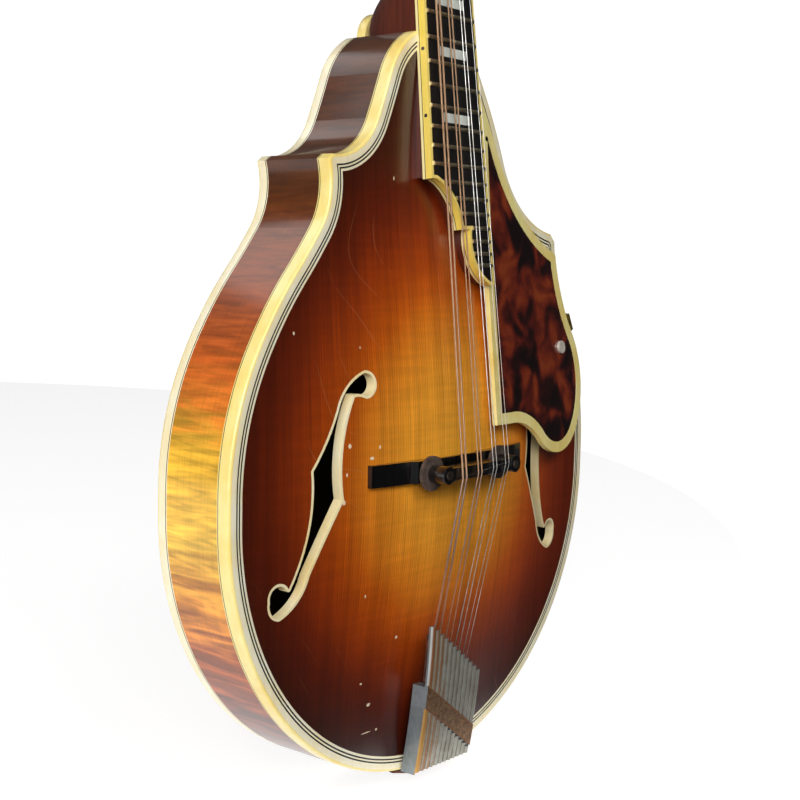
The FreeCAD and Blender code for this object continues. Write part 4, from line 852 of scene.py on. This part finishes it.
def make_bindings():
    """The bindings of the top and back edges, with their black and pale lines, and a painted highlight on the
    top binding's front strip.
    """
    path = body_outline()
    top = [(0, -14.15, YELLOW), (0, -14.6, BLACK), (0, -14.95, YELLOW)] + rounded(1.3, -19.7, 1.3, -1)
    # Painted highlight: the top binding's front strip, from the rounded corner to the first black line, takes
    # the pale look, paler than the yellow side of the same binding where it faces the light; the pale
    # purfling lines after it are pale in their own right
    top[-1] = top[-1][:2] + (PALE,)
    top += [
        (4.0, -21.0, BLACK), (4.7, -21.0, PALE), (5.4, -21.0, BLACK), (6.1, -21.0, PALE),
        (7.2, -21.0, YELLOW), (7.2, -20.2, YELLOW), (4.0, -20.2, YELLOW), (4.0, -14.15, YELLOW),
    ]
    strip_sweep("top_edge_binding", ["top_binding", "top_purfling"], path, top)
    back = [(0, 15.0, PALE), (0, 15.45, BLACK), (0, 15.85, PALE)] + rounded(1.2, 19.8, 1.2, 1)
    back += [(4.0, 21.0, YELLOW), (4.0, 15.0, YELLOW)]
    closed_path = [Vector((0, 335))] + path[1:-1] + [Vector((0, 335))]
    strip_sweep("back_edge_binding", ["back_binding"], closed_path, back)


make_bindings()


def copied(node, name):
    """A free copy of a CAD node's mesh, with the node's look."""
    obj = bpy.data.objects.new(name, NODES[node].data.copy())
    bpy.context.scene.collection.objects.link(obj)
    dress(obj, SLOTS[node], SPECIAL.get(node, SLOTS[node]))
    return obj


def make_strings():
    """Each set of strings, parted at the saddle's slanting crest, so that both runs stay straight."""
    for node in ("wound_strings", "plain_strings"):
        for part, keep_above in (("tail_run", False), ("neck_run", True)):
            obj = copied(node, node + "_" + part)
            tool = bmesh.new()
            tool.from_mesh(obj.data)
            bmesh.ops.remove_doubles(tool, verts=tool.verts, dist=STRING_SEAM)
            bmesh.ops.bisect_plane(
                tool, geom=tool.verts[:] + tool.edges[:] + tool.faces[:], plane_co=CREST, plane_no=CREST_LEAN,
                clear_outer=not keep_above, clear_inner=keep_above,
            )
            rim = [e for e in tool.edges if e.is_boundary]
            bmesh.ops.holes_fill(tool, edges=rim)
            tool.to_mesh(obj.data)
            tool.free()
            obj.data.shade_smooth()
            obj.data.set_sharp_from_angle(angle=math.radians(50))
            if keep_above:
                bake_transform(obj)
            else:
                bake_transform(obj)
            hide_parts(node)


make_strings()


# ---------------------------------------------------------------- floor, light and camera

def make_floor():
    """A round pale floor under and behind the object, with none in front for the top to mirror."""
    bpy.ops.mesh.primitive_circle_add(
        vertices=96, radius=FLOOR_RADIUS, fill_type="NGON", location=FLOOR_PLACE,
    )
    floor = bpy.context.active_object
    floor.name = "floor"
    p = Paint("floor_paper", roughness=0.9, specular=0.0)
    fleck = p.noise(p.scaled(40, 40, 40), detail=2)
    p.set("Base Color", p.mix(fleck, (0.38, 0.38, 0.38, 1), (0.41, 0.41, 0.41, 1)))
    p.set("Emission Color", (1, 1, 1, 1))
    p.set("Emission Strength", FLOOR_GLOW)
    floor.data.materials.append(p.material)


def area_light(name, place, width, height, radiance):
    """A rectangular light that faces the object."""
    data = bpy.data.lights.new(name, "AREA")
    data.shape = "RECTANGLE"
    data.size = width
    data.size_y = height
    data.energy = radiance * math.pi * width * height
    light = bpy.data.objects.new(name, data)
    bpy.context.scene.collection.objects.link(light)
    light.location = place
    light.rotation_euler = (Vector(place) - LIGHT_TARGET).to_track_quat("Z", "Y").to_euler()


def make_world():
    """White all round for the camera; for the object a faint glow that fades towards the front."""
    world = bpy.data.worlds.new("studio")
    bpy.context.scene.world = world
    world.use_nodes = True
    tree = world.node_tree
    tree.nodes.clear()

    def new(kind, **settings):
        node = tree.nodes.new(kind)
        for key, value in settings.items():
            setattr(node, key, value)
        return node

    seen = new("ShaderNodeBackground")
    seen.inputs["Strength"].default_value = WORLD_SEEN
    seen.inputs["Color"].default_value = (1, 1, 1, 1)
    lit = new("ShaderNodeBackground")
    lit.inputs["Color"].default_value = (1.0, 0.99, 0.97, 1)
    toward = new("ShaderNodeVectorMath", operation="DOT_PRODUCT")
    toward.inputs[1].default_value = WORLD_FRONT
    tree.links.new(new("ShaderNodeTexCoord").outputs["Generated"], toward.inputs[0])
    fade = new("ShaderNodeMapRange", interpolation_type="SMOOTHSTEP", clamp=True)
    for socket, number in zip(fade.inputs[1:5], WORLD_FADE):
        socket.default_value = number
    tree.links.new(toward.outputs["Value"], fade.inputs[0])
    tree.links.new(fade.outputs["Result"], lit.inputs["Strength"])
    mix = new("ShaderNodeMixShader")
    tree.links.new(new("ShaderNodeLightPath").outputs["Is Camera Ray"], mix.inputs[0])
    tree.links.new(lit.outputs[0], mix.inputs[1])
    tree.links.new(seen.outputs[0], mix.inputs[2])
    tree.links.new(mix.outputs[0], new("ShaderNodeOutputWorld").inputs["Surface"])


def make_camera():
    """The camera at the photo's place and angle."""
    forward = (CAMERA_TARGET - CAMERA_PLACE).normalized()
    right = forward.cross(Vector((0, 0, 1))).normalized()
    up = right.cross(forward)
    tilted_right = right * math.cos(CAMERA_ROLL) + up * math.sin(CAMERA_ROLL)
    tilted_up = up * math.cos(CAMERA_ROLL) - right * math.sin(CAMERA_ROLL)
    turned = Matrix((tilted_right, tilted_up, -forward)).transposed().to_4x4()
    data = bpy.data.cameras.new("camera")
    data.sensor_width = 36
    data.lens = CAMERA_LENS
    data.clip_start = 0.01
    camera = bpy.data.objects.new("camera", data)
    bpy.context.scene.collection.objects.link(camera)
    camera.matrix_world = Matrix.Translation(CAMERA_PLACE) @ turned
    bpy.context.scene.camera = camera


make_floor()
make_world()
for light in LIGHTS:
    area_light(*light)
make_camera()
bpy.context.scene.view_settings.view_transform = "Standard"
